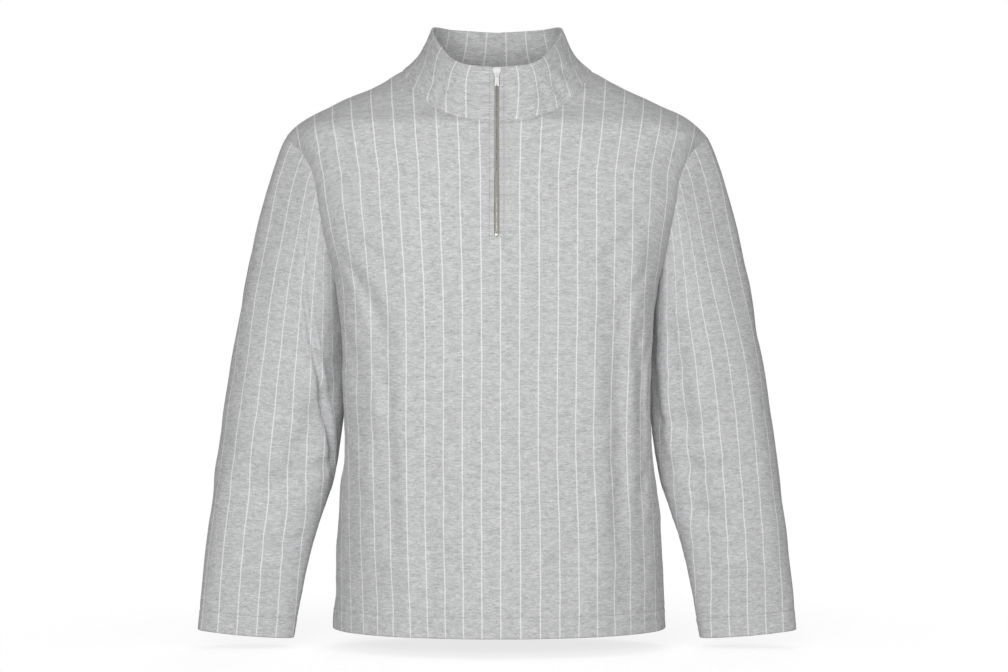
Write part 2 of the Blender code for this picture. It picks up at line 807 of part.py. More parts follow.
def slider(top):
    """Two plates and the wedge that joins them, with an arch in front that holds the pull."""
    shield = [
        (1.6, 1.6), (3.9, 2.2), (4.9, 3.4), (5.0, 5.6), (4.4, 7.6), (3.4, 9.6), (2.9, 13.6)
    ]
    front = mirrored([(x * MM, down * MM) for x, down in shield])
    ob = extruded("zip_slider", facing(front, PLATE_OUT), (0, -PLATE_THICK, 0), "bright_metal")
    ob.parent = top
    back = mirrored([(x * MM * 0.9, down * MM) for x, down in shield[:-1]])
    deep = PLATE_OUT + BACK_PLATE_IN
    wedge = [(-POST_HALF, 3 * MM), (POST_HALF, 3 * MM), (POST_HALF, 9 * MM), (-POST_HALF, 9 * MM)]
    overlap = PLATE_THICK / 2
    turn = np.linspace(0, math.pi, 13)
    foot = HINGE_OUT - PLATE_OUT - overlap
    rise = [(-foot, BAIL_OUTER)] + [
        (BAIL_OUTER * math.sin(a), BAIL_OUTER * math.cos(a)) for a in turn
    ]
    fall = [(BAIL_INNER * math.sin(a), BAIL_INNER * math.cos(a)) for a in turn[::-1]]
    arch = rise + [(-foot, -BAIL_OUTER), (-foot, -BAIL_INNER)] + fall + [(-foot, BAIL_INNER)]
    bail = [(-BAIL_WIDE / 2, -HINGE_OUT - out, -HINGE_ALONG - down) for out, down in arch]
    parts = (
        ("slider_back", facing(back, -BACK_PLATE_IN), (0, BACK_PLATE_THICK, 0)),
        ("slider_wedge", facing(wedge, PLATE_OUT + overlap), (0, deep + overlap * 1.5, 0)),
        ("slider_bail", bail, (BAIL_WIDE, 0, 0)),
    )
    for name, outline, push in parts:
        combine(ob, extruded(name, outline, push, "bright_metal", helpers), "UNION")


def pull(top):
    """The pull tab, hanging from the bar at its top, which is its hinge."""
    pivot = bpy.data.objects.new("pull_hinge", None)
    pivot.empty_display_size = 5 * MM
    pivot.location = (0, -HINGE_OUT, -HINGE_ALONG)
    pivot.parent = top
    helpers.objects.link(pivot)
    side = [(1.7, -0.5), (2.3, 0.1), (2.6, 3.0), (2.45, 6.0), (2.55, 10.0)]
    side = [(x * MM, down * MM) for x, down in side]
    side += [(PULL_HALF, PULL_LENGTH - 0.5 * MM), (PULL_HALF - 0.4 * MM, PULL_LENGTH)]
    notch = [(0.75 * MM, PULL_LENGTH), (0, PULL_LENGTH - 3.2 * MM)]
    outline = mirrored(side + notch)
    ob = extruded("zip_pull", facing(outline, -BAR_HALF), (0, -2 * BAR_HALF, 0), "bright_metal")
    ob.parent = pivot
    slot = [
        (-PULL_SLOT_HALF, BAR_HALF),
        (PULL_SLOT_HALF, BAR_HALF),
        (PULL_SLOT_HALF, PULL_SLOT_END),
        (-PULL_SLOT_HALF, PULL_SLOT_END),
    ]
    cutter = extruded("pull_slot", facing(slot, -2 * MM), (0, -4 * MM, 0), "bright_metal", helpers)
    combine(ob, cutter, "DIFFERENCE")


def zip_fastener(front_left, front_right, collar_grid, total):
    right = zip_rows(front_right, collar_grid[:, 0], collar_grid[:, 1])
    left = zip_rows(front_left, collar_grid[:, -1], collar_grid[:, -2])
    zip_tape("zip_tape_right", *right, 1, total)
    zip_tape("zip_tape_left", *left, -1, total)
    line, out, along = zip_line(right[0], total)
    zip_chain(line, out, along)
    bottom_stop(line, out, along)
    top = bpy.data.objects.new("zip_top", None)
    top.empty_display_size = 10 * MM
    top.location = line[0]
    top.rotation_euler.x = tilt_of(line, along, 0, 14 * MM)
    helpers.objects.link(top)
    slider(top)
    pull(top)


# Objects and materials


def clear_scene():
    for ob in list(bpy.data.objects):
        bpy.data.objects.remove(ob, do_unlink=True)


def material(name):
    found = bpy.data.materials.get(name)
    if found:
        return found
    colour, roughness, metallic = COLOURS[name]
    made = bpy.data.materials.new(name)
    made.use_nodes = True
    shader = made.node_tree.nodes["Principled BSDF"]
    shader.inputs["Base Color"].default_value = (*colour, 1)
    shader.inputs["Roughness"].default_value = roughness
    shader.inputs["Metallic"].default_value = metallic
    made.diffuse_color = (*colour, 1)
    return made


def keep(ob, look):
    """Gives an object its material and moves it to the garment's collection."""
    ob.data.materials.append(material(look))
    for group in list(ob.users_collection):
        group.objects.unlink(ob)
    collection.objects.link(ob)


def add_mesh(name, points, faces, look):
    mesh = bpy.data.meshes.new(name)
    mesh.from_pydata([tuple(p) for p in points], [], [tuple(map(int, f)) for f in faces])
    mesh.shade_smooth()
    mesh.set_sharp_from_angle(angle=math.radians(40))
    ob = bpy.data.objects.new(name, mesh)
    ob.data.materials.append(material(look))
    collection.objects.link(ob)
    return ob


def main():
    clear_scene()
    global collection, helpers
    collection = bpy.data.collections.new("quarter_zip_sweatshirt")
    helpers = bpy.data.collections.new("helpers")
    bpy.context.scene.collection.children.link(collection)
    bpy.context.scene.collection.children.link(helpers)

    front_grids, front_walls, front_left, front_right = full_panel("front")
    back_grids, back_walls, back_left, back_right = full_panel("back")
    right_grids, right_walls = sleeve_grid(front_right, back_right, 1, RIGHT_SLEEVE_FOLDS)
    left_grids, left_walls = sleeve_grid(front_left, back_left, -1, LEFT_SLEEVE_FOLDS)
    neck = neck_loop(front_left, front_right, back_left, back_right)
    collar_grid = collar(neck)
    collar_wall = np.full(collar_grid.shape[:2], DOUBLED)

    pieces = {
        "front": welded(front_grids, front_walls),
        "back": welded(back_grids, back_walls),
        "sleeve_right": welded(right_grids, right_walls),
        "sleeve_left": welded(left_grids, left_walls),
        "collar": welded((collar_grid,), (collar_wall,)),
    }
    total, owners = {}, {}
    for name, (points, _, faces) in pieces.items():
        add_normals(total, points, faces)
        for p in points:
            owners.setdefault(spot_key(p), set()).add(name)
    for key, names in owners.items():
        if len(names & {"sleeve_left", "sleeve_right"}) and len(names) > 1:
            underarm_spots.add(key)
    underarm_down(total)
    for name, surface in pieces.items():
        cloth(name, surface, total, owners)
    zip_fastener(front_left, front_right, collar_grid, total)


main()
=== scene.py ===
"""Striped quarter-zip sweatshirt: fine cloth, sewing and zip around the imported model.

Metres, +Z up, the chest faces -Y. The cloth pieces repeat the model's own tables and are sampled
more finely, so that seams, turned edges, creases and puckers show. Pieces that meet at a seam
share its points and the direction of the wall there.
"""

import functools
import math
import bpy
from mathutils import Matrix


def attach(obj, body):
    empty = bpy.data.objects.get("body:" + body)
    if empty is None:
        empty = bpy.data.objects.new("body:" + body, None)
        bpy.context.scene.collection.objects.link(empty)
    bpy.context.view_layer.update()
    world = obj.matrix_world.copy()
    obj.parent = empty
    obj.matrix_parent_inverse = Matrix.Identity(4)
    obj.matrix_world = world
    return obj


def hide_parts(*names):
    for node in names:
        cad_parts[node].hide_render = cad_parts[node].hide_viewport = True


bl_info = {
    "name": "Quarter zip sweatshirt",
    "version": (1, 0, 0),
    "blender": (4, 5, 0),
    "location": "View3D > Sidebar > Sweatshirt",
    "description": "Makes the cloth, sewing, zip and studio of a striped sweatshirt",
    "category": "Object",
}

import bmesh
import bpy
import numpy as np
from bpy.props import FloatProperty, FloatVectorProperty, PointerProperty
from mathutils import Matrix, Vector

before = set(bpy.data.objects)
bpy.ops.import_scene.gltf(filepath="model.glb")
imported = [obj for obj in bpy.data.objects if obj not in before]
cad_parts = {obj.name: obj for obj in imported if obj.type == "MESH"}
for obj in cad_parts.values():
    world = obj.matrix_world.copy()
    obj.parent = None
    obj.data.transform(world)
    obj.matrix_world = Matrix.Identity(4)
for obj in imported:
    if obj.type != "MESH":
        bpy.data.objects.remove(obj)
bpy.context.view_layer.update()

MM = 0.001
BODY_NAME = "garment"
PULL_NAME = "pull"

# The model's driving sizes
HEM_HEIGHT = -678 * MM
SEAM_Y = 8 * MM
CLOTH = 2.0 * MM
DOUBLED = 3.2 * MM
HEM_BAND = 25 * MM
ARMHOLE_TOP = -77 * MM
ARMHOLE_BOTTOM = -288 * MM
YOKE_ANGLE = math.radians(60)
SLIT_HALF = 2.4 * MM
SLIT_END = -205.5 * MM

SQUARE = "squareness"
SHARE = "share"
LEFT_STRETCH = "left_stretch"
RIGHT_STRETCH = "right_stretch"
ANGLES = ("angle", "to_angle", "top_angle", "bottom_angle")
RATIOS = (SQUARE, SHARE, "number", "stretch", LEFT_STRETCH, RIGHT_STRETCH, *ANGLES)


def table(columns, *rows):
    """A table given in millimetres, as metres by column name. Ratios and degrees stay."""
    names = columns.split()
    values = np.array(rows, float)
    return {name: values[:, i] * (1 if name in RATIOS else MM) for i, name in enumerate(names)}


def rows_of(columns):
    return list(zip(*columns.values(), strict=True))


BODY = table(
    "height left right front back squareness hollow",
    (2.5, 116, 116, 33, 36, 2.0, 0),
    (-5, 127, 127, 48, 80, 2.0, 0),
    (-13, 140, 140, 58, 88, 2.05, 0),
    (-22, 159, 159, 66, 94, 2.1, 0),
    (-31, 179, 179, 73, 98, 2.2, 0),
    (-42, 202, 202, 80, 101, 2.3, 0),
    (-55, 228, 228, 91, 103, 2.35, 0),
    (-65.5, 243, 243, 102, 105, 2.4, 0),
    (-77, 256, 256, 106, 106, 2.45, 0),
    (-100, 247, 247, 113, 108, 2.5, 0),
    (-130, 239, 239, 120, 109, 2.6, 0),
    (-165, 230, 230, 126, 109, 2.8, 0),
    (-205, 216, 216, 130, 107, 3.0, 0),
    (-250, 202, 202, 131, 104, 3.1, 8),
    (-288, 197, 197, 131, 101, 3.1, 13),
    (-330, 196, 196, 129, 96, 3.0, 20),
    (-400, 196, 196, 127, 91, 2.8, 20),
    (-450, 194, 197, 125, 89, 2.55, 13),
    (-500, 194, 198, 124, 90, 2.35, 4),
    (-560, 195, 200, 124, 92, 2.2, 0),
    (-620, 197, 203, 125, 95, 2.1, 0),
    (-678, 200, 206, 126, 97, 2.05, 0),
)
HOLLOW_WIDTH = 45 * MM

SHOULDER = table(
    "out height",
    (116, 2.5),
    (140, -13),
    (159, -22),
    (181, -32),
    (204, -43),
    (228, -55),
    (243, -65.5),
    (256, -77),
)
NECKLINE_FRONT = table(
    "out height",
    (2.4, -66),
    (24, -65),
    (50, -60),
    (74, -49),
    (91, -34),
    (105, -18),
    (116, 2.5),
)
NECKLINE_BACK = table("out height", (0, -5), (45, -4), (85, -1), (116, 2.5))
ARMHOLE = {"front_top": 78 * MM, "front_low": 58 * MM, "back_top": 72 * MM, "back_low": 60 * MM}

SLEEVE_OUTER = table(
    "out height",
    (256, -77),
    (262, -90),
    (269, -108),
    (286, -162),
    (300, -219),
    (310, -266),
    (325, -350),
    (336.5, -425),
    (343, -475),
    (349, -522),
    (355, -574),
    (360, -621),
    (365, -680),
)
SLEEVE_INNER = table(
    "out height",
    (184, -288),
    (183.5, -315),
    (183.5, -351),
    (186, -400),
    (192, -455),
    (200, -500),
    (213, -540),
    (224, -574),
    (235.5, -626),
    (247, -690),
)
SLEEVE_DEPTH = table(
    "from_cuff front back middle squareness",
    (0, 24, 24, 0, 2.0),
    (25, 26, 25, 1, 2.0),
    (100, 36, 34, 6, 2.05),
    (200, 50, 48, 14, 2.1),
    (260, 56, 53, 16, 2.1),
    (330, 64, 59, 14, 2.05),
    (410, 75, 68, 8, 2.0),
)
ARMHOLE_FADE = 150 * MM

COLLAR_TOP = table(
    "share out across height",
    (0.00, 0, -75, -1),
    (0.12, 21, -73.5, 0.5),
    (0.22, 38, -69, 3),
    (0.31, 52, -58, 10),
    (0.40, 64, -40, 23),
    (0.48, 73, -18, 37),
    (0.56, 78.5, 5, 50),
    (0.66, 78, 26, 58),
    (0.80, 57, 57, 58.5),
    (1.00, 0, 75, 57),
)
COLLAR_HOLLOW = 5.5 * MM
COLLAR_TALL = 64 * MM

FRONT_FOLDS = table(
    "top_out top bottom_out bottom width depth",
    (-108, -170, -112, -640, 20, 4.5),
    (-86, -260, -84, -660, 17, -3.5),
    (-150, -300, -158, -600, 22, 3.0),
    (138, -180, 152, -560, 19, -5.0),
    (162, -210, 176, -520, 15, 5.5),
    (118, -240, 122, -650, 22, 3.5),
    (40, -330, 52, -670, 26, 2.0),
    (-30, -300, -36, -670, 26, 2.0),
)
BACK_FOLDS = table(
    "top_out top bottom_out bottom width depth",
    (-95, -180, -120, -650, 22, 4.5),
    (100, -170, 116, -640, 20, 4.5),
    (-60, -300, -66, -670, 24, -3.5),
    (70, -330, 60, -660, 24, -3.0),
    (8, -250, 14, -670, 30, 3.0),
    (150, -260, 165, -560, 18, -4.5),
    (-150, -240, -168, -580, 18, -4.5),
)
FOLD_CALM = 35 * MM
CREASE_DEPTH = 1.5
# Gentle hills and hollows over all the cloth: how high, how far across and their seed
ROLLS = ((0.8 * MM, 120 * MM, 1.0), (0.3 * MM, 52 * MM, 5.0))
SLEEVE_ROLL = 0.6
SLEEVE_FOLDS = {
    "left": table(
        "top_angle top bottom_angle bottom width depth",
        (150, 330, 95, 150, 16, -5.5),
        (128, 360, 78, 190, 18, 4.5),
        (60, 300, 50, 40, 20, 3.0),
        (-120, 320, -70, 160, 18, -4.5),
        (-60, 380, -50, 60, 20, 3.5),
    ),
    "right": table(
        "top_angle top bottom_angle bottom width depth",
        (120, 390, 118, 120, 16, -5.0),
        (92, 370, 96, 60, 18, 4.0),
        (48, 280, 55, 50, 20, 2.5),
        (-110, 330, -80, 150, 18, -4.5),
        (-50, 370, -55, 80, 20, 3.5),
    ),
}

# The zip's opening, which parts a little above its lower end
SLIT = table(
    "height half",
    (-205.5, 0.0),
    (-205.0, 1.1),
    (-204.0, 1.75),
    (-202, 2.3),
    (-196, 2.6),
    (-180, 2.8),
    (-150, 2.6),
    (-120, 2.4),
    (-66, 2.4),
)

# Fine creases, in millimetres: from one end to the other, how far the middle bows aside, the
# half width and the depth (a trough, or a ridge if negative). On a panel, across is measured
# round the body from the middle, and up is the height.
FRONT_CREASES = table(
    "across up to_across to_up bow width depth",
    (-172, -205, -118, -262, 7, 9, 1.3),
    (-184, -236, -138, -330, 9, 8, 1.1),
    (-165, -160, -120, -196, -6, 8, 0.8),
    (-206, -300, -172, -392, 8, 9, 1.4),
    (-150, -345, -96, -430, -8, 12, 0.9),
    (-214, -430, -176, -520, 6, 9, 1.0),
    (-120, -520, -60, -596, 9, 13, 0.7),
    (-40, -236, -28, -330, 4, 9, 0.6),
    (172, -198, 122, -250, -7, 9, 1.2),
    (190, -240, 150, -318, -8, 9, 1.5),
    (160, -150, 112, -182, 5, 8, 0.7),
    (206, -318, 178, -410, -6, 8, 1.5),
    (150, -372, 92, -450, 9, 12, 0.9),
    (214, -450, 182, -548, -7, 9, 1.1),
    (110, -560, 52, -628, -7, 14, 0.7),
    (30, -250, 40, -352, -5, 10, 0.5),
    (-70, -100, -34, -128, 4, 8, 0.5),
    (66, -96, 36, -130, -4, 8, 0.5),
    (-12, -420, 26, -500, 6, 15, 0.5),
    (70, -470, 128, -520, -6, 12, 0.6),
    (-196, -226, -128, -352, 12, 10, 2.0),
    (-131, -330, -116, -640, -5, 10, 2.2),
    (-152, -420, -146, -600, 4, 8, 1.2),
    (172, -290, 184, -590, 6, 10, 2.2),
    (150, -380, 158, -640, -5, 11, 1.4),
)
BACK_CREASES = table(
    "across up to_across to_up bow width depth",
    (-176, -196, -112, -250, 7, 9, 1.3),
    (-192, -244, -132, -322, 9, 10, 1.4),
    (-208, -318, -160, -404, 7, 9, 1.2),
    (-120, -380, -52, -440, -9, 13, 0.9),
    (-204, -470, -168, -560, 6, 9, 1.0),
    (-96, -548, -30, -606, 8, 13, 0.8),
    (174, -202, 108, -246, -7, 9, 1.2),
    (196, -250, 140, -334, -9, 10, 1.5),
    (206, -330, 168, -424, -7, 9, 1.3),
    (128, -396, 66, -470, 8, 13, 0.8),
    (206, -492, 170, -580, -6, 9, 1.0),
    (88, -570, 20, -622, -8, 13, 0.7),
    (-66, -60, 60, -56, -10, 14, 0.8),
    (-44, -150, 30, -166, 7, 14, 0.5),
)
# On a sleeve, across is an angle in degrees round it from the outer edge, and up is the distance
# from the cuff.
SLEEVE_CREASES = {
    "left": table(
        "angle up to_angle to_up bow width depth",
        (172, 352, 66, 286, 8, 10, 1.6),
        (78, 372, 166, 196, 7, 6, 3.6),
        (168, 306, 96, 262, 5, 9, 0.7),
        (150, 262, 40, 214, -7, 10, 1.2),
        (165, 232, 74, 168, 7, 10, 1.5),
        (120, 178, 40, 132, -6, 11, 0.9),
        (150, 128, 64, 92, 6, 9, 0.9),
        (160, 392, 92, 346, 6, 9, 1.1),
        (60, 72, 130, 50, -5, 9, 0.7),
        (-172, 340, -78, 276, -8, 10, 1.7),
        (-168, 292, -60, 236, -8, 11, 1.8),
        (-150, 236, -48, 196, 6, 10, 1.2),
        (-160, 190, -74, 138, -6, 10, 1.3),
        (-120, 120, -50, 88, 5, 9, 0.8),
        (20, 330, -24, 240, 6, 14, 0.9),
        (30, 170, -20, 120, 5, 14, 0.7),
    ),
    "right": table(
        "angle up to_angle to_up bow width depth",
        (152, 410, 148, 190, 6, 10, 2.2),
        (170, 366, 76, 296, -8, 10, 1.6),
        (166, 318, 64, 262, -9, 10, 1.4),
        (168, 270, 70, 202, -8, 11, 1.9),
        (150, 214, 48, 176, 7, 10, 1.1),
        (160, 164, 78, 120, -6, 10, 1.2),
        (118, 118, 44, 90, 6, 10, 0.8),
        (150, 84, 84, 58, -5, 9, 0.8),
        (-170, 352, -86, 290, 8, 10, 1.6),
        (-166, 300, -62, 248, 8, 11, 1.7),
        (-150, 248, -56, 206, -6, 10, 1.3),
        (-158, 182, -70, 146, 6, 10, 1.1),
        (-124, 130, -46, 100, -5, 9, 0.8),
        (24, 300, -18, 222, -6, 14, 0.9),
        (16, 150, -30, 110, 5, 14, 0.7),
    ),
}
# On the collar, across is the distance round it from the zip, and up is the height above its
# seam. The same creases run on both halves, with some of them shifted.
COLLAR_CREASES = table(
    "across up to_across to_up bow width depth",
    (30, 2, 52, 34, 4, 7, 0.7),
    (62, 4, 74, 46, -4, 8, 0.8),
    (96, 0, 104, 40, 4, 8, 0.9),
    (128, 6, 120, 52, -4, 8, 0.8),
    (158, 2, 166, 44, 3, 9, 0.6),
    (200, 8, 194, 50, 3, 10, 0.5),
    (-38, 3, -58, 36, -4, 7, 0.7),
    (-80, 2, -86, 42, 4, 8, 0.9),
    (-112, 4, -104, 50, -4, 8, 0.8),
    (-146, 0, -150, 42, 4, 9, 0.7),
    (-182, 6, -176, 48, -3, 9, 0.6),
)

# How much the knit is stretched sideways, and so its stripes spread, left and right of the zip
STRETCH = table(
    "height left_stretch right_stretch",
    (-678, 0.945, 1.025),
    (-560, 0.977, 1.020),
    (-457, 0.982, 0.975),
    (-279, 0.982, 0.992),
    (-139, 1.057, 0.996),
    (-60, 1.070, 1.014),
    (10, 1.075, 1.020),
)
STRIPE_SHIFT = 4.5 * MM
# The same round the sleeves, with how far the stripes have turned off the outer edge
SLEEVE_STRIPES = {
    "left": table(
        "from_cuff shift stretch",
        (0, 11, 1.05),
        (262, 26, 1.09),
        (336, 28, 1.09),
        (421, 19, 1.20),
        (494, 18, 1.18),
        (557, 14, 1.12),
    ),
    "right": table(
        "from_cuff shift stretch",
        (0, 3, 0.98),
        (262, 7, 1.04),
        (335, 4, 1.12),
        (420, 9, 1.16),
        (495, 11, 1.12),
        (557, 6, 1.08),
    ),
}
# Stripes on the collar: the share of its half length, from the zip to its middle at the back,
# where each lies along the seam and along the top edge
COLLAR_STRIPES = {
    "right": table(
        "number seam top",
        (0, -50, -50), (1, 61, 130), (2, 136, 230), (3, 225, 333), (4, 302, 440),
        (5, 390, 545), (6, 500, 660), (7, 660, 785), (8, 830, 881), (9, 957, 962),
        (10, 1078, 1045),
    ),
    "left": table(
        "number seam top",
        (0, -50, -50), (1, 103, 180), (2, 182, 280), (3, 279, 420), (4, 365, 510),
        (5, 460, 600), (6, 565, 690), (7, 690, 779), (8, 810, 877), (9, 922, 955),
        (10, 1043, 1038),
    ),
}
COLLAR_STRIPE_COUNT = 19

# Sampling: distances from an edge, in millimetres, at which the cloth has a row or column
TURNED_EDGE = (0, 0.3, 0.75, 1.3, 2.0, 3.4)
SEAM_EDGE = (0, 0.4, 0.9, 1.6, 2.6, 4.2, 6.6, 10)
BAND_ROWS = (6, 10, 14.5, 19, 22, 23.6, 24.6, 25.2, 26, 27.4, 30, 34)
ZIP_EDGE = (0, 0.3, 0.75, 1.3, 2.0, 3.4, 4.9, 5.7, 6.3, 7.2, 9)
SLIT_ROWS = (0, 0.5, 1.1, 2, 3.3, 5)
BAND_END = 38 * MM  # where the close rows at a hem or cuff end
COLUMN_STEP = 4.6 * MM
ROW_STEP = 4.6 * MM
COLLAR_ROW_STEP = 2.6 * MM
BAKE_STEP = 0.9 * MM  # the least step between rows or columns on the bake's picture
BAKE_STEP_COLLAR = 0.5 * MM
UPPER_ROWS = 22
SEAM_LEAD = 11  # how many columns beside the armhole curve to its seam
LEAD_RISE = 45 * MM  # over what height they start to

# Edges and seams
TURN_RADIUS = DOUBLED / 2
SEAM_SHARP = 75  # degrees
SEAM_PINCH = 0.5 * MM  # how far in the cloth lies where two pieces are sewn together
SEAM_SINK = 0.42 * MM  # how far the cloth sinks over a wider strip beside it
SEAM_PUCKER = 0.28 * MM
STITCH_SINK = 0.55 * MM
ZIP_STITCH_SINK = 0.8 * MM
NECK_STITCH_SINK = 0.3 * MM
STITCH_PUCKER = 0.3 * MM
HEM_SWELL = 0.35 * MM  # how far the doubled hem stands out
ZIP_STITCH = 8.5 * MM
ZIP_BOX_LOW = 10.5 * MM  # how far below the slit the zip's stitching turns across
NECK_STITCH = 4 * MM
NECK_STITCH_END = 108 * MM

# Each stitch: shares of its length, and its height and thickness there against the thread's
STITCH_SHARES = (0.04, 0.2, 0.48, 0.76, 0.92)
STITCH_RISE = (-0.5, 0.25, 0.45, 0.25, -0.5)
STITCH_BODY = (0.55, 0.95, 1.0, 0.95, 0.55)
STITCH_SIDES = 6

# The zip, measured down from the collar's top edge, and out from its cloth
TAPE_ROWS_BELOW = 5
TAPE_THICK = 0.7 * MM
TAPE_ACROSS = (0.4, 1.0, 1.6, 2.1, 2.6, 3.4, 6, 9.5, 13)
TAPE_DEEP = (1.35, 1.3, 1.4, 1.9, 3.2, 3.55, 3.55, 3.5, 3.5)
CHAIN_LOW = -200.6 * MM
CHAIN_START = 9.8 * MM
TOOTH_THICK = 0.92 * MM
TOOTH_EDGE = 0.16 * MM
TOOTH = (
    (-1.6, -1.6), (-1.4, -1.15), (-0.8, -0.95), (-0.45, -0.5), (0.15, -0.46), (0.42, -0.8),
    (0.5, -1.5), (0.5, -2.2), (0.35, -2.75), (-0.1, -3.05), (-1.4, -3.0), (-1.6, -2.6),
)
STOP_MIDDLE = -203.0 * MM
CLIP = ((1.9, -1.5), (1.9, 1.5), (-1.9, 1.5), (-1.9, -1.5))
PLATE_OUT = 0.4 * MM
PLATE_THICK = 1.4 * MM
BACK_PLATE_IN = 5.4 * MM
BACK_PLATE_THICK = 1.2 * MM
HINGE_ALONG = 11.3 * MM
HINGE_OUT = 2.8 * MM
BAIL_MIDDLE = 1.45 * MM
BAIL_HALF = 0.5 * MM
BAIL_HALF_WIDE = 0.6 * MM
BAR_SIDES = 12
BAR_ROUNDNESS = 0.6
SHIELD = ((1.6, 1.6), (3.9, 2.2), (4.9, 3.4), (5.0, 5.6), (4.4, 7.6), (3.4, 9.6), (2.9, 13.6))
WEDGE = ((-1.3, 3), (1.3, 3), (1.3, 9), (-1.3, 9))
RING_DOWN = 5.4
RING_RADII = (1.75, 1.15)
RING_RISE = 0.22 * MM
PULL_SIDE = (
    (1.7, -0.5), (2.3, 0.1), (2.6, 3.0), (2.45, 6.0), (2.55, 10.0), (2.85, 14.9), (2.45, 15.4),
    (0.75, 15.4), (0, 12.2),
)
PULL_SLOT = ((-1.1, 0.5), (1.1, 0.5), (1.1, 3.6), (-1.1, 3.6))


# Curves through short tables


def smooth(places, values, at):
    """Cubic curve through a table's rows, with each row's slope taken from its neighbours."""
    order = np.argsort(places)
    p, v = places[order], values[order]
    slope = np.gradient(v, p)
    at = np.clip(at, p[0], p[-1])
    i = np.clip(np.searchsorted(p, at) - 1, 0, len(p) - 2)
    gap = p[i + 1] - p[i]
    t = (at - p[i]) / gap
    return (
        (1 + 2 * t) * (1 - t) ** 2 * v[i]
        + t * (1 - t) ** 2 * gap * slope[i]
        + t**2 * (3 - 2 * t) * v[i + 1]
        + t**2 * (t - 1) * gap * slope[i + 1]
    )


def lengths(points):
    """Distance along a line of points, starting from 0."""
    steps = np.linalg.norm(np.diff(points, axis=0), axis=1)
    return np.concatenate([[0], np.cumsum(steps)])


def at_distance(points, along, at):
    """The points at the given distances along a line."""
    return np.stack([np.interp(at, along, p) for p in points.T], axis=-1)


def fine_edge(rows):
    """A smooth (out, height) edge through a table, as close points."""
    points = np.stack([rows["out"], rows["height"]], axis=1)
    along = lengths(points)
    at = np.linspace(0, along[-1], 400)
    return np.stack([smooth(along, p, at) for p in points.T], axis=1)


def ease(x):
    x = np.clip(x, 0, 1)
    return x * x * (3 - 2 * x)


def bump(x):
    return np.exp(-(x**2))


def ripple(along, period, seed):
    """Uneven waves between -1 and 1 along a line, about one to each period."""
    turn = 2 * math.pi * along / period
    return (
        0.5 * np.sin(turn + seed)
        + 0.3 * np.sin(1.73 * turn + 2.1 * seed + 0.8 * np.sin(0.31 * turn))
        + 0.2 * np.sin(0.57 * turn + 3.7 * seed)
    )


def unevenness(points, size, seed):
    """Soft hills and hollows between about -1 and 1, of a given size across."""
    x, y, z = np.moveaxis(points, -1, 0) * (2 * math.pi / size)
    a = np.sin(1.0 * x + 0.6 * z + seed) * np.sin(0.9 * z - 0.5 * y + 1.7 * seed)
    b = np.sin(0.7 * y - 1.3 * z + 2.3 * seed) * np.sin(0.8 * x + 1.1 * y + 0.4 * seed)
    c = np.sin(1.9 * x - 0.7 * z + 3.1 * seed) * np.sin(1.6 * z + 1.2 * y + 0.9 * seed)
    return (a + b + 0.5 * c) / 1.6


# The body's form


def body(name, height):
    return smooth(BODY["height"], BODY[name], height)


def depth_at(out, height, face):
    """How far from SEAM_Y the cloth lies at a height, a distance out from the middle."""
    ratio = np.clip(out / body("right", height), 0, 1)
    power = body(SQUARE, height)
    return body(face, height) * (1 - ratio**power) ** (1 / power)


def section(height, side, face):
    """A level line of (out, from SEAM_Y) points, from the middle of a panel to its side."""
    turn = np.linspace(0, math.pi / 2, 400)
    power = 2 / body(SQUARE, height)
    out = body(side, height) * np.sin(turn) ** power
    away = body(face, height) * np.cos(turn) ** power
    out -= body("hollow", height) * bump(away / HOLLOW_WIDTH)
    out[0] = 0
    return np.stack([out, away], axis=1)


def armhole_height(angle):
    middle = (ARMHOLE_TOP + ARMHOLE_BOTTOM) / 2
    return middle + (ARMHOLE_TOP - middle) * np.cos(angle)


def armhole_depth(angle, face):
    """Distance from SEAM_Y of the armhole seam, for angles from the top to the underarm."""
    top, low = ARMHOLE[face + "_top"], ARMHOLE[face + "_low"]
    return (top + (low - top) * ease(angle / math.pi)) * np.sin(angle)


def cut_length(line, away):
    """How far along a section it comes within away of SEAM_Y, and how far out it is there."""
    along = lengths(line)
    falling = np.minimum.accumulate(line[:, 1])
    at = np.interp(-away, -falling, along)
    return at, np.interp(at, along, line[:, 0])


class Levels:
    """Level sections of half a panel, looked up by the distance round and the height."""

    COUNT, SHARES = 700, 500

    def __init__(self, face, side):
        self.low, self.high = HEM_HEIGHT, armhole_height(YOKE_ANGLE) + 2 * MM
        self.length = np.zeros(self.COUNT)
        self.points = np.zeros((self.COUNT, self.SHARES, 2))
        for i, height in enumerate(np.linspace(self.low, self.high, self.COUNT)):
            line = section(height, side, face)
            along = lengths(line)
            self.length[i] = along[-1]
            at = np.linspace(0, along[-1], self.SHARES)
            self.points[i] = at_distance(line, along, at)

    def at(self, arc, height):
        row = (height - self.low) / (self.high - self.low) * (self.COUNT - 1)
        r = np.clip(row.astype(int), 0, self.COUNT - 2)
        down = (row - r)[..., None]
        total = self.length[r] * (1 - down[..., 0]) + self.length[r + 1] * down[..., 0]
        column = np.clip(arc / total, 0, 1) * (self.SHARES - 1)
        c = np.clip(column.astype(int), 0, self.SHARES - 2)
        over = (column - c)[..., None]
        a = self.points[r, c] * (1 - over) + self.points[r, c + 1] * over
        b = self.points[r + 1, c] * (1 - over) + self.points[r + 1, c + 1] * over
        return a * (1 - down) + b * down


def fold_push(folds, out, height):
    """How far the main folds move the cloth outward."""
    push = 0.0
    for top_out, top, bottom_out, bottom, width, depth in rows_of(folds):
        down = (height - top) / (bottom - top)
        place = top_out + (bottom_out - top_out) * np.clip(down, 0, 1)
        reach = ease(down / 0.25) * ease((1.12 - down) / 0.25)
        push = push + depth * reach * bump((out - place) / width)
    return push


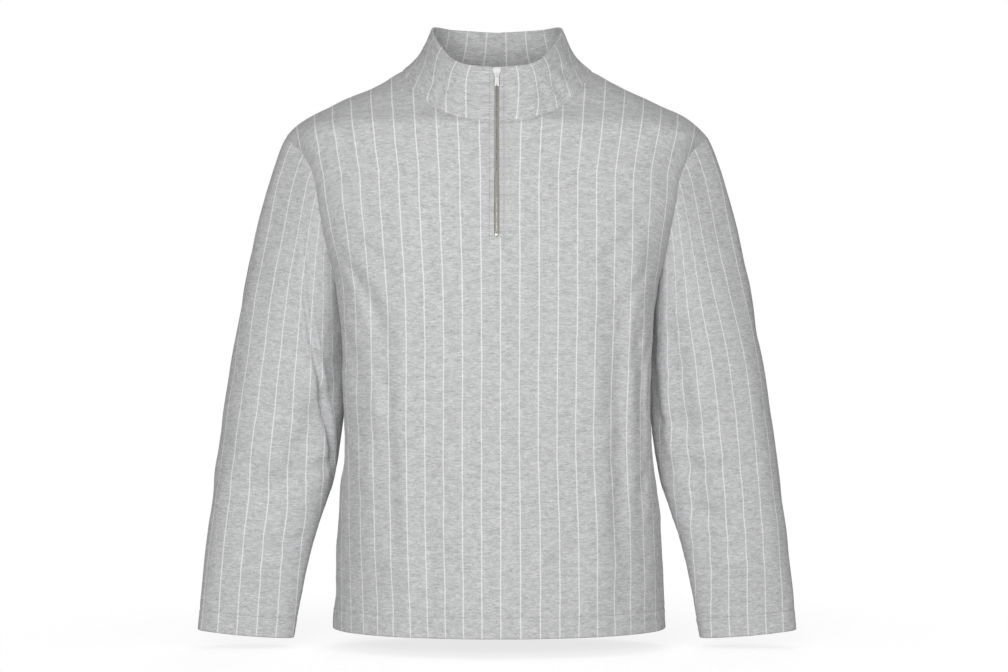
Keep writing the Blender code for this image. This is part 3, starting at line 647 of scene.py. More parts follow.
def crease_push(creases, across, up):
    """How far the fine creases move the cloth outward. Each is a trough between soft ridges."""
    push = 0.0
    for a0, b0, a1, b1, bow, width, depth in creases:
        way = np.array([a1 - a0, b1 - b0])
        length = np.hypot(*way)
        way = way / length
        da, db = across - a0, up - b0
        t = (da * way[0] + db * way[1]) / length
        aside = -da * way[1] + db * way[0] - bow * 4 * t * (1 - t)
        x = aside / (width * (0.75 + 0.5 * np.clip(t, 0, 1)))
        reach = ease((t + 0.12) / 0.4) * ease((1.12 - t) / 0.55)
        shape = bump(x) - 0.5 * bump((np.abs(x) - 1.55) / 0.9)
        push = push - CREASE_DEPTH * depth * reach * shape
    return push


# Sampling of the panels


def even(start, stop, step):
    """Even places from start to stop, without the last."""
    count = max(1, round(abs(stop - start) / step))
    return np.linspace(start, stop, count + 1)[:-1]


def column_shares(full):
    """Shares of a panel's half width, close together at the zip and at the seam."""
    start = np.array(ZIP_EDGE) * MM / full
    end = 1 - np.array(SEAM_EDGE[::-1]) * MM / full
    low = even(12 * MM / full, 0.5, COLUMN_STEP / full)
    high = even(0.5, end[0], COLUMN_STEP / full)
    return np.concatenate([start, low, high, end])


def panel_heights():
    """Heights of the rows from the hem to the yoke in a panel's middle and at its seam."""
    hem = HEM_HEIGHT + np.array(TURNED_EDGE + BAND_ROWS) * MM
    lower = even(HEM_HEIGHT + BAND_END, ARMHOLE_BOTTOM, ROW_STEP)
    straight = np.concatenate([hem, lower])
    yoke = armhole_height(YOKE_ANGLE)
    middle = np.concatenate([
        even(ARMHOLE_BOTTOM, SLIT_END - 6 * MM, ROW_STEP),
        even(SLIT_END - 6 * MM, SLIT_END, 1.5 * MM),
        SLIT_END + np.array(SLIT_ROWS) * MM,
        even(SLIT_END + 7 * MM, yoke, ROW_STEP),
        [yoke],
    ])
    angles = np.linspace(math.pi, YOKE_ANGLE, len(middle))
    # The rows' places come together evenly at both ends of the armhole's lower part.
    seam = armhole_height(angles)
    return straight, middle, seam, angles


def top_edge(neckline, shares):
    """(out, height) of a half panel's top, from the middle along the neckline and shoulder."""
    neck, shoulder = fine_edge(neckline), fine_edge(SHOULDER)
    at_neck, at_shoulder = lengths(neck), lengths(shoulder)
    low = at_distance(neck, at_neck, np.clip(shares * 2, 0, 1) * at_neck[-1])
    high = at_distance(shoulder, at_shoulder, np.clip(shares * 2 - 1, 0, 1) * at_shoulder[-1])
    return np.where((shares <= 0.5)[:, None], low, high)


def upper_patch(face, side, low, shares):
    """Rows from the yoke up to the neckline and shoulder, as (out, depth, height)."""
    top = top_edge(NECKLINE_FRONT if face == "front" else NECKLINE_BACK, shares)
    t = np.linspace(0, 1, 161)[:, None]
    rise = 1 - (1 - t) ** 2
    out = low[None, :, 0] + (top[None, :, 0] - low[None, :, 0]) * rise
    height = low[None, :, 2] + (top[None, :, 1] - low[None, :, 2]) * rise
    # The outermost line is the armhole seam, and its neighbours bend along with it.
    angles = np.linspace(YOKE_ANGLE, 0, len(t))
    seam_height, seam_depth = armhole_height(angles), armhole_depth(angles, face)
    seam_out = np.array([
        cut_length(section(h, side, face), d)[1]
        for h, d in zip(seam_height, seam_depth, strict=True)
    ])
    seam_out[-1] = SHOULDER["out"][-1]
    seam = np.stack([seam_out, seam_depth, seam_height], axis=1)
    seam = at_distance(seam, lengths(seam), t[:, 0] * lengths(seam)[-1])
    path = np.stack([out[:, -1], depth_at(out[:, -1], height[:, -1], face), height[:, -1]], 1)
    path = at_distance(path, lengths(path), t[:, 0] * lengths(path)[-1])
    lines = []
    for c, share in enumerate(shares):
        line = np.stack([out[:, c], depth_at(out[:, c], height[:, c], face), height[:, c]], 1)
        line[0] = low[c]
        line = at_distance(line, lengths(line), t[:, 0] * lengths(line)[-1])
        pull = ease((share - 0.62) / 0.38) ** 1.5
        line += (seam - path) * pull
        if 0 < pull < 1:
            line[1:-1, 1] = depth_at(line[1:-1, 0], line[1:-1, 2], face)
        if share >= 0.5:
            line[-1, 1] = 0
        at = np.linspace(0, lengths(line)[-1], UPPER_ROWS + 1)
        lines.append(at_distance(line, lengths(line), at))
    lines[-1] = at_distance(seam, lengths(seam), np.linspace(0, lengths(seam)[-1], UPPER_ROWS + 1))
    return np.array(lines).transpose(1, 0, 2)[1:]


@functools.lru_cache(maxsize=None)
def half_panel(face, side):
    """Half a front or back: points by row and column, with its cloth places and edges."""
    levels = Levels(face, side)
    straight, middle, seam, angles = panel_heights()
    full = lengths(section(ARMHOLE_BOTTOM, side, face))[-1]
    shares = column_shares(full)
    heights = np.concatenate([
        np.repeat(straight[:, None], len(shares), axis=1),
        middle[:, None] + (seam - middle)[:, None] * (shares**3)[None, :],
    ])
    arcs = np.zeros_like(heights)
    for r, height in enumerate(straight):
        arcs[r] = lengths(section(height, side, face))[-1] * shares
    for k, angle in enumerate(angles):
        line = section(seam[k], side, face)
        end, _ = cut_length(line, armhole_depth(angle, face))
        arcs[len(straight) + k] = full * shares - (full - end) * shares**3
    if face == "front":
        half = np.where(
            heights[:, :1] > SLIT_END, smooth(SLIT["height"], SLIT["half"], heights[:, :1]), 0
        )
        arcs = arcs + half * np.clip(1 - shares / 0.25, 0, 1)[None, :] ** 2
    points = levels.at(arcs, heights)
    first = len(straight)
    for k, angle in enumerate(angles):
        points[first + k, -1, 1] = armhole_depth(angle, face)
    grid = np.concatenate([points, heights[..., None]], axis=2)
    upper = upper_patch(face, side, grid[-1], shares)
    if face == "front":
        upper[:, 0, 0] = SLIT_HALF
    grid = np.concatenate([grid, upper])
    lead_to_seam(grid, shares, first)

    folds = FRONT_FOLDS if face == "front" else BACK_FOLDS
    mirror = 1 if side == "right" else -1
    reach = body(side, grid[..., 2]) - body("hollow", grid[..., 2])
    calm = ease((reach - grid[..., 0]) / FOLD_CALM)
    across = panel_across(grid, arcs)
    grid[..., 1] += fold_push(folds, grid[..., 0] * mirror, grid[..., 2]) * calm
    creases = FRONT_CREASES if face == "front" else BACK_CREASES
    edge_calm = ease((full * shares[-1] - full * shares) / (30 * MM))[None, :]
    edge_calm = np.minimum(edge_calm, ease((full * 1.02 - across) / (40 * MM)))
    grid[..., 1] += crease_push(rows_of(creases), across * mirror, grid[..., 2]) * edge_calm
    sign = -1 if face == "front" else 1
    placed = np.stack(
        [grid[..., 0] * mirror, SEAM_Y + sign * grid[..., 1], grid[..., 2]], axis=-1
    )
    return placed, across * mirror


def lead_to_seam(grid, shares, first):
    """Lets the columns next to the armhole's upper part run straight to its seam."""
    start = len(shares) - SEAM_LEAD
    span = 1 - shares[start]
    t = ((shares[start:] - shares[start]) / span)[:, None]
    seam_height = grid[first:, -1, 2]
    yoke = armhole_height(YOKE_ANGLE)
    weight = ease((seam_height - yoke + LEAD_RISE) / LEAD_RISE)
    for row, share in zip(grid[first:], weight, strict=True):
        a, b = row[start], row[-1]
        step = (b - a) / span
        lead = (a - row[start - 2]) / (shares[start] - shares[start - 2])
        lead *= min(1, 1.1 * np.linalg.norm(step) / np.linalg.norm(lead))
        line = (
            (1 + 2 * t) * (1 - t) ** 2 * a
            + t * (1 - t) ** 2 * span * lead
            + t**2 * (3 - 2 * t) * b
            + t**2 * (t - 1) * span * step
        )
        row[start:] = row[start:] * (1 - share) + line * share


def panel_across(grid, arcs):
    """Distance round the body from the panel's middle, carried straight up above the yoke."""
    rows = arcs.shape[0]
    yoke_out, yoke_arc = grid[rows - 1, :, 0], arcs[-1]
    bend = 0.8 * yoke_out[-1]
    slope = np.interp(bend, yoke_out, np.gradient(yoke_arc, yoke_out))
    # Beyond the yoke's end the stripes keep the spacing that they have there.
    out = grid[rows:, :, 0]
    rise = (grid[rows:, :, 2] - grid[rows - 1, :, 2].mean()) / (130 * MM)
    at_yoke = out / (1 + 0.105 * np.clip(rise, 0, 1.2))
    near = np.interp(np.minimum(at_yoke, bend), yoke_out, yoke_arc)
    upper = near + np.maximum(at_yoke - bend, 0) * slope
    lower_end = np.interp(bend, yoke_out, yoke_arc) + np.maximum(yoke_out - bend, 0) * slope
    yoke_fix = np.where(yoke_out > bend, lower_end, yoke_arc)
    # The lower rows blend into that spacing over the armhole's height.
    tall = armhole_height(YOKE_ANGLE) - ARMHOLE_BOTTOM
    blend = ease((grid[:rows, :, 2] - ARMHOLE_BOTTOM) / tall)
    lower = arcs + (yoke_fix - yoke_arc)[None, :] * blend
    return np.concatenate([lower, upper])


# Sleeves


def ring_middle(name, from_cuff):
    return smooth(SLEEVE_DEPTH["from_cuff"], SLEEVE_DEPTH[name], from_cuff)


def sleeve_rows(shortest):
    """Distances from the cuff of a sleeve's rings, from the armhole down."""
    top = shortest - np.array(SEAM_EDGE) * MM * 0.7
    low = np.array(TURNED_EDGE + BAND_ROWS)[::-1] * MM
    main, at = [], top[-1] - 2.6 * MM
    while at > BAND_END:
        main.append(at)
        at -= (2.5 + 1.9 * (1 - at / shortest)) * MM
    return np.concatenate([top, main, low])


@functools.lru_cache(maxsize=None)
def sleeve_grid(side):
    """Rings from the armhole down to the cuff, each from the underarm round the back and top."""
    mirror = 1 if side == "right" else -1
    straight, _, _, angles = panel_heights()
    first = len(straight)
    front, back = half_panel("front", side)[0], half_panel("back", side)[0]
    upper = np.linspace(YOKE_ANGLE, 0, UPPER_ROWS + 1)[1:]
    rise = np.concatenate([angles, upper])
    loop = np.concatenate([back[first:, -1], front[first:-1, -1][::-1]]) * (mirror, 1, 1)
    turn = np.concatenate([-rise, rise[:-1][::-1]])
    outer, inner = fine_edge(SLEEVE_OUTER), fine_edge(SLEEVE_INNER)
    inner[0, 0] = loop[0, 0]
    outer_along, inner_along = lengths(outer), lengths(inner)
    longest, shortest = outer_along[-1], inner_along[-1]
    from_cuff = sleeve_rows(shortest)
    rings, up = [], []
    for distance in from_cuff:
        extra = (longest - shortest) * (distance / shortest) ** 2
        a = at_distance(outer, outer_along, longest - distance - extra)
        b = at_distance(inner, inner_along, shortest - distance)
        power = 2 / ring_middle(SQUARE, distance)
        along = np.sign(np.cos(turn)) * np.abs(np.cos(turn)) ** power
        away = np.sign(np.sin(turn)) * np.abs(np.sin(turn)) ** power
        depth = np.where(
            turn > 0, ring_middle("front", distance), ring_middle("back", distance)
        )
        spot = (a + b) / 2 + (a - b) / 2 * along[:, None]
        across = ring_middle("middle", distance) - depth * away
        rings.append(np.stack([spot[:, 0], across, spot[:, 1]], axis=1))
        up.append(distance + extra * (1 + np.cos(turn)) / 2)
    rings = np.array(rings)
    reach = (from_cuff - shortest + ARMHOLE_FADE) / ARMHOLE_FADE
    rings += (loop - rings[0]) * ease(reach)[:, None, None]
    rings = push_sleeve(rings, from_cuff, turn, side)
    steps = np.linalg.norm(np.diff(rings, axis=1), axis=2)
    around = np.concatenate([np.zeros((len(rings), 1)), np.cumsum(steps, axis=1)], axis=1)
    top = int(np.argmin(np.abs(turn)))
    around -= around[:, top : top + 1]
    return rings * (mirror, 1, 1), around, np.array(up)


def push_sleeve(rings, from_cuff, turn, side):
    """Moves the rings' points in or out where a fold or crease runs."""
    middle = rings.mean(axis=1, keepdims=True)
    ray = rings - middle
    radius = np.linalg.norm(ray, axis=2, keepdims=True)
    push = np.zeros(rings.shape[:2])
    for top_angle, top, bottom_angle, bottom, width, depth in rows_of(SLEEVE_FOLDS[side]):
        down = (top - from_cuff) / (top - bottom)
        place = np.radians(top_angle + (bottom_angle - top_angle) * np.clip(down, 0, 1))
        reach = ease(down / 0.3) * ease((1.2 - down) / 0.3)
        away = np.abs(turn[None, :] - place[:, None]) * radius[..., 0]
        push += depth * reach[:, None] * bump(away / width)
    size = radius.mean(axis=1)
    flat = turn[None, :] * size
    up = np.repeat(from_cuff[:, None], len(turn), axis=1)
    for angle, start, to_angle, end, *form in rows_of(SLEEVE_CREASES[side]):
        mean_size = np.interp((start + end) / 2, from_cuff[::-1], size[::-1, 0])
        a, b = math.radians(angle) * mean_size, math.radians(to_angle) * mean_size
        push += crease_push([(a, start, b, end, *form)], flat * (mean_size / size), up)
    push *= ease((from_cuff[0] - from_cuff) / (26 * MM))[:, None]
    return rings + ray / radius * push[..., None]


# Collar


@functools.lru_cache(maxsize=None)
def collar_grid():
    """Rows from the neckline up to the collar's top edge, from the zip round and back to it."""
    edges = {}
    for face in ("front", "back"):
        for end in ("right", "left"):
            top = half_panel(face, end)[0][-1]
            neck_point = int(np.argmin(np.abs(np.abs(top[:, 0]) - SHOULDER["out"][0])))
            edges[face, end] = top[: neck_point + 1]
    loop = np.concatenate([
        edges["front", "right"],
        edges["back", "right"][:-1][::-1],
        edges["back", "left"][1:],
        edges["front", "left"][:-1][::-1],
    ])
    half = len(loop) // 2
    along = lengths(loop[: half + 1])
    share = along / along[-1]
    share = np.concatenate([share, share[::-1][1:]])
    side = np.where(np.arange(len(loop)) <= half, 1, -1)
    top = np.stack(
        [
            smooth(COLLAR_TOP[SHARE], COLLAR_TOP["out"], share) * side,
            smooth(COLLAR_TOP[SHARE], COLLAR_TOP["across"], share),
            smooth(COLLAR_TOP[SHARE], COLLAR_TOP["height"], share),
        ],
        axis=1,
    )
    near_zip = np.clip(1 - share / 0.1, 0, 1) ** 2
    top[:, 0] += near_zip * SLIT_HALF * side
    inward = -np.stack([loop[:, 0], loop[:, 1], 0 * share], axis=1)
    inward /= np.linalg.norm(inward, axis=1, keepdims=True)
    bend = COLLAR_HOLLOW * ease(share / 0.45)
    ups = np.concatenate([
        np.array(SEAM_EDGE) * MM,
        even(12.5 * MM, COLLAR_TALL - 5.5 * MM, COLLAR_ROW_STEP),
        COLLAR_TALL - np.array(TURNED_EDGE[::-1]) * MM,
    ]) / COLLAR_TALL
    rows = []
    for up in ups:
        curve = 27 / 4 * up * (1 - up) ** 2
        rows.append(loop + (top - loop) * up + inward * (bend * curve)[:, None])
    rows = np.array(rows)
    across = np.concatenate([along, 2 * along[-1] - along[::-1][1:]])
    signed = np.where(side > 0, across, across - 2 * along[-1])
    push = crease_push(rows_of(COLLAR_CREASES), signed[None, :], ups[:, None] * COLLAR_TALL)
    push = push * ease(np.minimum(ups, 1 - ups) / 0.12)[:, None]
    rows -= inward[None] * push[..., None]
    return rows, across, ups, share


# Cloth walls


def grid_normals(grid):
    """The direction out of a grid of points, whose columns run left to right and rows up."""
    across = grid[1:, 1:] - grid[:-1, :-1]
    other = grid[1:, :-1] - grid[:-1, 1:]
    face = np.cross(across, other)
    total = np.zeros_like(grid)
    total[:-1, :-1] += face
    total[1:, :-1] += face
    total[:-1, 1:] += face
    total[1:, 1:] += face
    return total / np.maximum(np.linalg.norm(total, axis=2, keepdims=True), 1e-15)


# How far from a line a distance is still measured
FAR = 60 * MM


def spot_keys(points):
    return np.round(points.reshape(-1, 3) / (0.01 * MM)).astype(np.int64)


class Sheet:
    """One grid of cloth: points, direction out, cloth places and the wall's two sides."""

    def __init__(self, owner, grid, across, up, bake):
        self.owner = owner
        self.grid = grid
        self.across = across
        self.up = up
        self.bake = bake
        self.normal = grid_normals(grid)
        self.outer_in = np.zeros(grid.shape[:2])
        self.wall = np.full(grid.shape[:2], CLOTH)
        self.close = np.zeros(grid.shape[:2])
        self.place = grid @ np.array([1.0, 0.83, 1.13])

    def sink(self, amount):
        """Moves the outside inward by an amount."""
        self.outer_in = self.outer_in + amount

    def turned(self, away):
        """Rounds the outside and the inside over a turned edge."""
        x = np.clip(1 - away / TURN_RADIUS, 0, 1)
        drop = TURN_RADIUS * (1 - np.sqrt(np.clip(1 - x**2, 0, 1)))
        self.outer_in = self.outer_in + drop
        self.wall = self.wall - drop

    def sewn(self, away, seed):
        """Pulls the cloth in at a seam, with small puckers beside it."""
        dip = SEAM_PINCH * np.exp(-away / (2.0 * MM))
        soft = SEAM_SINK * bump(away / (6 * MM))
        pucker = SEAM_PUCKER * ripple(self.place, 11 * MM, seed) * bump(away / (7 * MM))
        pucker = pucker * ease(away / (1.2 * MM))
        self.close = np.maximum(self.close, np.exp(-away / (0.7 * MM)))
        self.outer_in = self.outer_in + dip + soft - pucker

    def stitched(self, away, seed, sink=STITCH_SINK):
        """Sinks a row of stitches into the cloth, which puckers on both sides of it."""
        groove = sink * bump(away / (1.15 * MM))
        pucker = STITCH_PUCKER * ripple(self.place, 9 * MM, seed) * bump(away / (6.5 * MM))
        self.outer_in = self.outer_in + groove - pucker

    def shut(self, open_middle):
        """Brings the two sides together at every edge. open_middle marks rows with no edge."""
        edge = np.zeros(self.grid.shape[:2], bool)
        edge[0] = edge[-1] = edge[:, 0] = edge[:, -1] = True
        edge &= ~open_middle
        self.wall = self.wall * (1 - self.close) + self.outer_in * self.close
        self.wall = np.where(edge, self.outer_in, np.maximum(self.wall, self.outer_in))

    def outer(self):
        return self.grid - self.normal * self.outer_in[..., None]

    def inner(self):
        return self.grid - self.normal * self.wall[..., None]


def away_from(grid, line):
    """Distance of every point of a grid from a line. Points far from it count as a metre off."""
    points = grid.reshape(-1, 3)
    a, b = line[:-1], line[1:]
    step = b - a
    size = np.maximum((step**2).sum(axis=1), 1e-14)
    best = np.full(len(points), 1.0)
    low, high = line.min(axis=0) - FAR, line.max(axis=0) + FAR
    near = np.where(((points > low) & (points < high)).all(axis=1))[0]
    for chunk in np.array_split(near, max(1, len(near) // 2500)):
        p = points[chunk][:, None, :]
        t = np.clip(((p - a) * step).sum(axis=2) / size, 0, 1)
        best[chunk] = np.linalg.norm(p - (a + step * t[..., None]), axis=2).min(axis=1)
    return best.reshape(grid.shape[:2])


def panel_stripes(across, height):
    """Places across the knit, which has a stripe at each whole pitch."""
    left = smooth(STRETCH["height"], STRETCH[LEFT_STRETCH], height)
    right = smooth(STRETCH["height"], STRETCH[RIGHT_STRETCH], height)
    return across / np.where(across < 0, left, right) - STRIPE_SHIFT


def sleeve_stripes(around, up, side):
    rows = SLEEVE_STRIPES[side]
    shift = smooth(rows["from_cuff"], rows["shift"], up)
    return (around - shift) / smooth(rows["from_cuff"], rows["stretch"], up)


def collar_stripes(share, ups, pitch):
    """The same on the collar. Both halves agree at its middle at the back."""
    rise = 1 - (1 - ups[:, None]) ** 1.6
    half = {}
    for side, rows in COLLAR_STRIPES.items():
        low = smooth(rows["seam"], rows["number"], share)
        high = smooth(rows["top"], rows["number"], share)
        half[side] = low + (high - low) * rise
    on_right = np.arange(len(share)) <= len(share) // 2
    return np.where(on_right, half["right"], COLLAR_STRIPE_COUNT - half["left"]) * pitch


def spread_out(values, low, high, least):
    """Places between low and high for rows or columns, at least a pixel apart."""
    steps = np.maximum(np.diff(values), least)
    place = np.concatenate([[0], np.cumsum(steps)])
    return low + (high - low) * place / place[-1]


def bake_places(u, v):
    return np.stack(np.broadcast_arrays(u[None, :], v[:, None]), axis=2)


def mean_steps(grid, axis):
    """Places of a grid's rows (axis 0) or columns (axis 1), by the mean distance between them."""
    steps = np.linalg.norm(np.diff(grid, axis=axis), axis=2).mean(axis=1 - axis)
    return np.concatenate([[0], np.cumsum(steps)])


@functools.lru_cache(maxsize=None)
def all_sheets():
    """Every grid of cloth with its seams, turned edges and stitch lines worked in."""
    sheets = {}
    pitch = ClothSettings.__annotations__["stripe_pitch"].keywords["default"]
    straight, middle, _, _ = panel_heights()
    first = len(straight)
    slit_row = first + int(np.argmin(np.abs(middle - SLIT_END)))
    full = lengths(section(ARMHOLE_BOTTOM, "right", "front"))[-1]
    shares = column_shares(full)
    for face in ("front", "back"):
        for side in ("left", "right"):
            grid, across = half_panel(face, side)
            columns = np.linalg.norm(np.diff(grid, axis=0), axis=2)
            up = np.concatenate([np.zeros((1, grid.shape[1])), np.cumsum(columns, axis=0)])
            mean_up = up[:, : len(shares) // 2].mean(axis=1)
            u = spread_out(shares * full, 0.5, 0.995, BAKE_STEP)
            v = spread_out(mean_up, 0, 1, BAKE_STEP)
            flip = (side == "left") == (face == "front")
            if flip:
                grid, across, up, u = grid[:, ::-1], across[:, ::-1], up[:, ::-1], 1 - u[::-1]
            bake = bake_places(u, v)
            across = panel_stripes(across, grid[..., 2])
            if face == "front" and side == "right":
                # The stripe nearest the zip is turned under with the cloth's edge.
                across[slit_row:] += np.where(shares * full < ZIP_STITCH, pitch / 2, 0)
            sheets[face + "_" + side] = Sheet(face, grid, across, up, bake)
            sheets[face + "_" + side].slit_row = slit_row
    for side in ("left", "right"):
        rings, around, up = sleeve_grid(side)
        grid, around, up = rings[::-1], around[::-1], up[::-1]
        u = spread_out(mean_steps(grid, 1), 0.005, 0.995, BAKE_STEP)
        v = spread_out(mean_steps(grid, 0), 0, 1, BAKE_STEP)
        if side == "left":
            grid, around, up, u = grid[:, ::-1], around[:, ::-1], up[:, ::-1], u[::-1]
        bake = bake_places(u, v)
        around = sleeve_stripes(around, up, side)
        sheets["sleeve_" + side] = Sheet("sleeve_" + side, grid, around, up, bake)
    rows, across, ups, share = collar_grid()
    u = spread_out(mean_steps(rows, 1), 0.005, 0.995, BAKE_STEP)
    v = spread_out(ups * COLLAR_TALL, 0, 1, BAKE_STEP_COLLAR)
    bake = bake_places(u, v)
    wide = collar_stripes(share, ups, pitch)
    tall = np.repeat((ups * COLLAR_TALL)[:, None], rows.shape[1], axis=1)
    sheets["collar"] = Sheet("collar", rows, wide, tall, bake)
    for sheet in sheets.values():
        face_out(sheet)
    share_normals(sheets)
    for sheet in sheets.values():
        roll(sheet)
    work_in(sheets, slit_row)
    return sheets


def face_out(sheet):
    """Turns the grid's direction outward, away from the middle of the garment or sleeve."""
    middle = sheet.grid.reshape(-1, 3).mean(axis=0)
    if sheet.owner in ("front", "back"):
        middle = np.array([0, SEAM_Y, -0.4])
    if sheet.owner == "collar":
        middle = np.array([0, 0, 0.02])
    rings = sheet.owner.startswith("sleeve")
    centre = sheet.grid.mean(axis=1, keepdims=True) if rings else middle
    sheet.flip = bool(((sheet.grid - centre) * sheet.normal).sum() < 0)
    if sheet.flip:
        sheet.normal = -sheet.normal


def share_normals(sheets):
    """Gives points that several pieces share one direction, straight down at the underarm."""
    names = list(sheets)
    keys = np.concatenate([spot_keys(sheets[n].grid) for n in names])
    normals = np.concatenate([sheets[n].normal.reshape(-1, 3) for n in names])
    groups = np.concatenate([
        np.full(sheets[n].grid[..., 0].size, int(n.startswith("sleeve"))) for n in names
    ])
    _, spot = np.unique(keys, axis=0, return_inverse=True)
    spot = spot.ravel()
    count = spot.max() + 1
    total = np.zeros((count, 3))
    np.add.at(total, spot, normals)
    on_sleeve, on_body = np.zeros(count, bool), np.zeros(count, bool)
    on_sleeve[spot[groups == 1]] = True
    on_body[spot[groups == 0]] = True
    size = np.linalg.norm(total, axis=1, keepdims=True)
    total = total / np.maximum(size, 1e-9)
    height = np.zeros(count)
    height[spot] = keys[:, 2] * 0.01 * MM
    near = ease((ARMHOLE_BOTTOM + 30 * MM - height) / (30 * MM)) * (on_sleeve & on_body)
    total = total * (1 - near)[:, None] + np.array([0, 0, -1.0]) * near[:, None]
    total /= np.maximum(np.linalg.norm(total, axis=1, keepdims=True), 1e-9)
    shared = total[spot]
    start = 0
    for n in names:
        size = sheets[n].grid[..., 0].size
        sheets[n].normal = shared[start : start + size].reshape(sheets[n].grid.shape)
        start += size


def roll(sheet):
    """Gives the cloth gentle hills and hollows, which fade out at the zip."""
    grid = sheet.grid
    height = sum(tall * unevenness(grid, size, seed) for tall, size, seed in ROLLS)
    if sheet.owner.startswith("sleeve"):
        height = SLEEVE_ROLL * height
    if sheet.owner in ("front", "collar"):
        height = height * ease((np.abs(grid[..., 0]) - 3 * MM) / (25 * MM))
    sheet.grid = grid + sheet.normal * height[..., None]


def work_in(sheets, slit_row):
    """Works every seam, turned edge and stitch line into the sheets."""
    for name, sheet in sheets.items():
        grid = sheet.grid
        middle = np.zeros(grid.shape[:2], bool)
        if sheet.owner == "collar":
            sheet.wall[:] = DOUBLED
            top = away_from(grid, grid[-1])
            ends = np.minimum(away_from(grid, grid[:, 0]), away_from(grid, grid[:, -1]))
            sheet.sewn(away_from(grid, grid[0]), 2.2)
            sheet.stitched(np.abs(ends - ZIP_STITCH + SLIT_HALF), 2.0, ZIP_STITCH_SINK)
            sheet.turned(np.minimum(top, ends))
            sheet.shut(middle)
            continue
        from_hem = away_from(grid, grid[0])
        sheet.from_hem = from_hem
        band = ease((HEM_BAND + 1 * MM - from_hem) / (2 * MM))
        sheet.wall += (DOUBLED - CLOTH) * band
        sheet.sink(-HEM_SWELL * band)
        sheet.stitched(np.abs(from_hem - HEM_BAND), 1.0)
        if sheet.owner.startswith("sleeve"):
            sheet.sewn(away_from(grid, grid[-1]), 3.4)
            sheet.sewn(away_from(grid, grid[:, 0]), 4.4)
            sheet.turned(from_hem)
            sheet.shut(middle)
            continue
        seam = 0 if name in ("front_left", "back_right") else -1
        inner = -1 if seam == 0 else 0
        neck, shoulder = split_top(grid, seam)
        sheet.sewn(away_from(grid, grid[:, seam]), 3.0)
        sheet.sewn(away_from(grid, shoulder), 4.0)
        from_neck = away_from(grid, neck)
        sheet.from_neck = from_neck
        sheet.sewn(from_neck, 5.0)
        sheet.stitched(np.abs(from_neck - NECK_STITCH), 6.0, NECK_STITCH_SINK)
        middle[:, inner] = True
        if sheet.owner == "front":
            middle[slit_row:, inner] = False
            from_slit = away_from(grid, grid[slit_row:, inner])
            sheet.wall += (DOUBLED - CLOTH) * ease((9.5 * MM - from_slit) / (2 * MM))
            down = grid[slit_row, inner, 2] - grid[..., 2]
            box = np.maximum(np.abs(grid[..., 0]) - ZIP_STITCH, down - ZIP_BOX_LOW)
            sheet.stitched(np.abs(box), 2.0, ZIP_STITCH_SINK)
            sheet.turned(from_slit)
        else:
            middle[-1, inner] = False
        sheet.turned(from_hem)
        middle[0, inner] = False
        sheet.shut(middle)


def split_top(grid, edge):
    """A panel's top edge as its neckline and its shoulder."""
    top = grid[-1] if edge == -1 else grid[-1, ::-1]
    out = np.abs(top[:, 0])
    n = int(np.argmin(np.abs(out - SHOULDER["out"][0])))
    return top[: n + 1], top[n:]


def welded(sheets, name):
    """A closed mesh of both sides of the sheets, with its cloth and bake places."""
    points, cloth, bake, faces, side = [], [], [], [], []
    start = 0
    for sheet in sheets:
        rows, columns = sheet.grid.shape[:2]
        index = np.arange(rows * columns).reshape(rows, columns)
        quads = np.stack(
            [index[:-1, :-1], index[:-1, 1:], index[1:, 1:], index[1:, :-1]], axis=-1
        ).reshape(-1, 4)
        for which, spots in ((0, sheet.outer()), (1, sheet.inner())):
            points.append(spots.reshape(-1, 3))
            cloth.append(np.stack([sheet.across, sheet.up], axis=-1).reshape(-1, 2))
            v = sheet.bake[..., 1]
            v = 0.35 + 0.645 * v if which == 0 else 0.005 + 0.32 * v
            bake.append(np.stack([sheet.bake[..., 0], v], axis=-1).reshape(-1, 2))
            turned = bool(which) != sheet.flip
            faces.append((quads[:, ::-1] if turned else quads) + start)
            side.append(np.full(len(quads), which))
            start += rows * columns
    points = np.concatenate(points)
    keys = np.round(points / (0.002 * MM)).astype(np.int64)
    _, keep_first, spot = np.unique(keys, axis=0, return_index=True, return_inverse=True)
    spot = spot.ravel()
    faces = np.concatenate(faces)
    merged = spot[faces]
    good = np.array([len(set(f)) == 4 for f in merged])
    side = np.concatenate(side)
    mesh = bpy.data.meshes.new(name)
    mesh.from_pydata(points[keep_first].tolist(), [], merged[good].tolist())
    corners = faces[good].reshape(-1)
    for label, values in (("OFBake", bake), ("cloth", cloth)):
        layer = mesh.uv_layers.new(name=label)
        layer.data.foreach_set("uv", np.concatenate(values)[corners].reshape(-1))
    mesh.polygons.foreach_set("material_index", side[good].astype(np.int32))
    mesh.shade_smooth()
    # The two sides meet sharply at a seam, so that it doesn't shade as a dark line.
    mesh.set_sharp_from_angle(angle=math.radians(SEAM_SHARP))
    mesh.update()
    ob = bpy.data.objects.new(name, mesh)
    bpy.context.scene.collection.objects.link(ob)
    return ob


# Shader sums


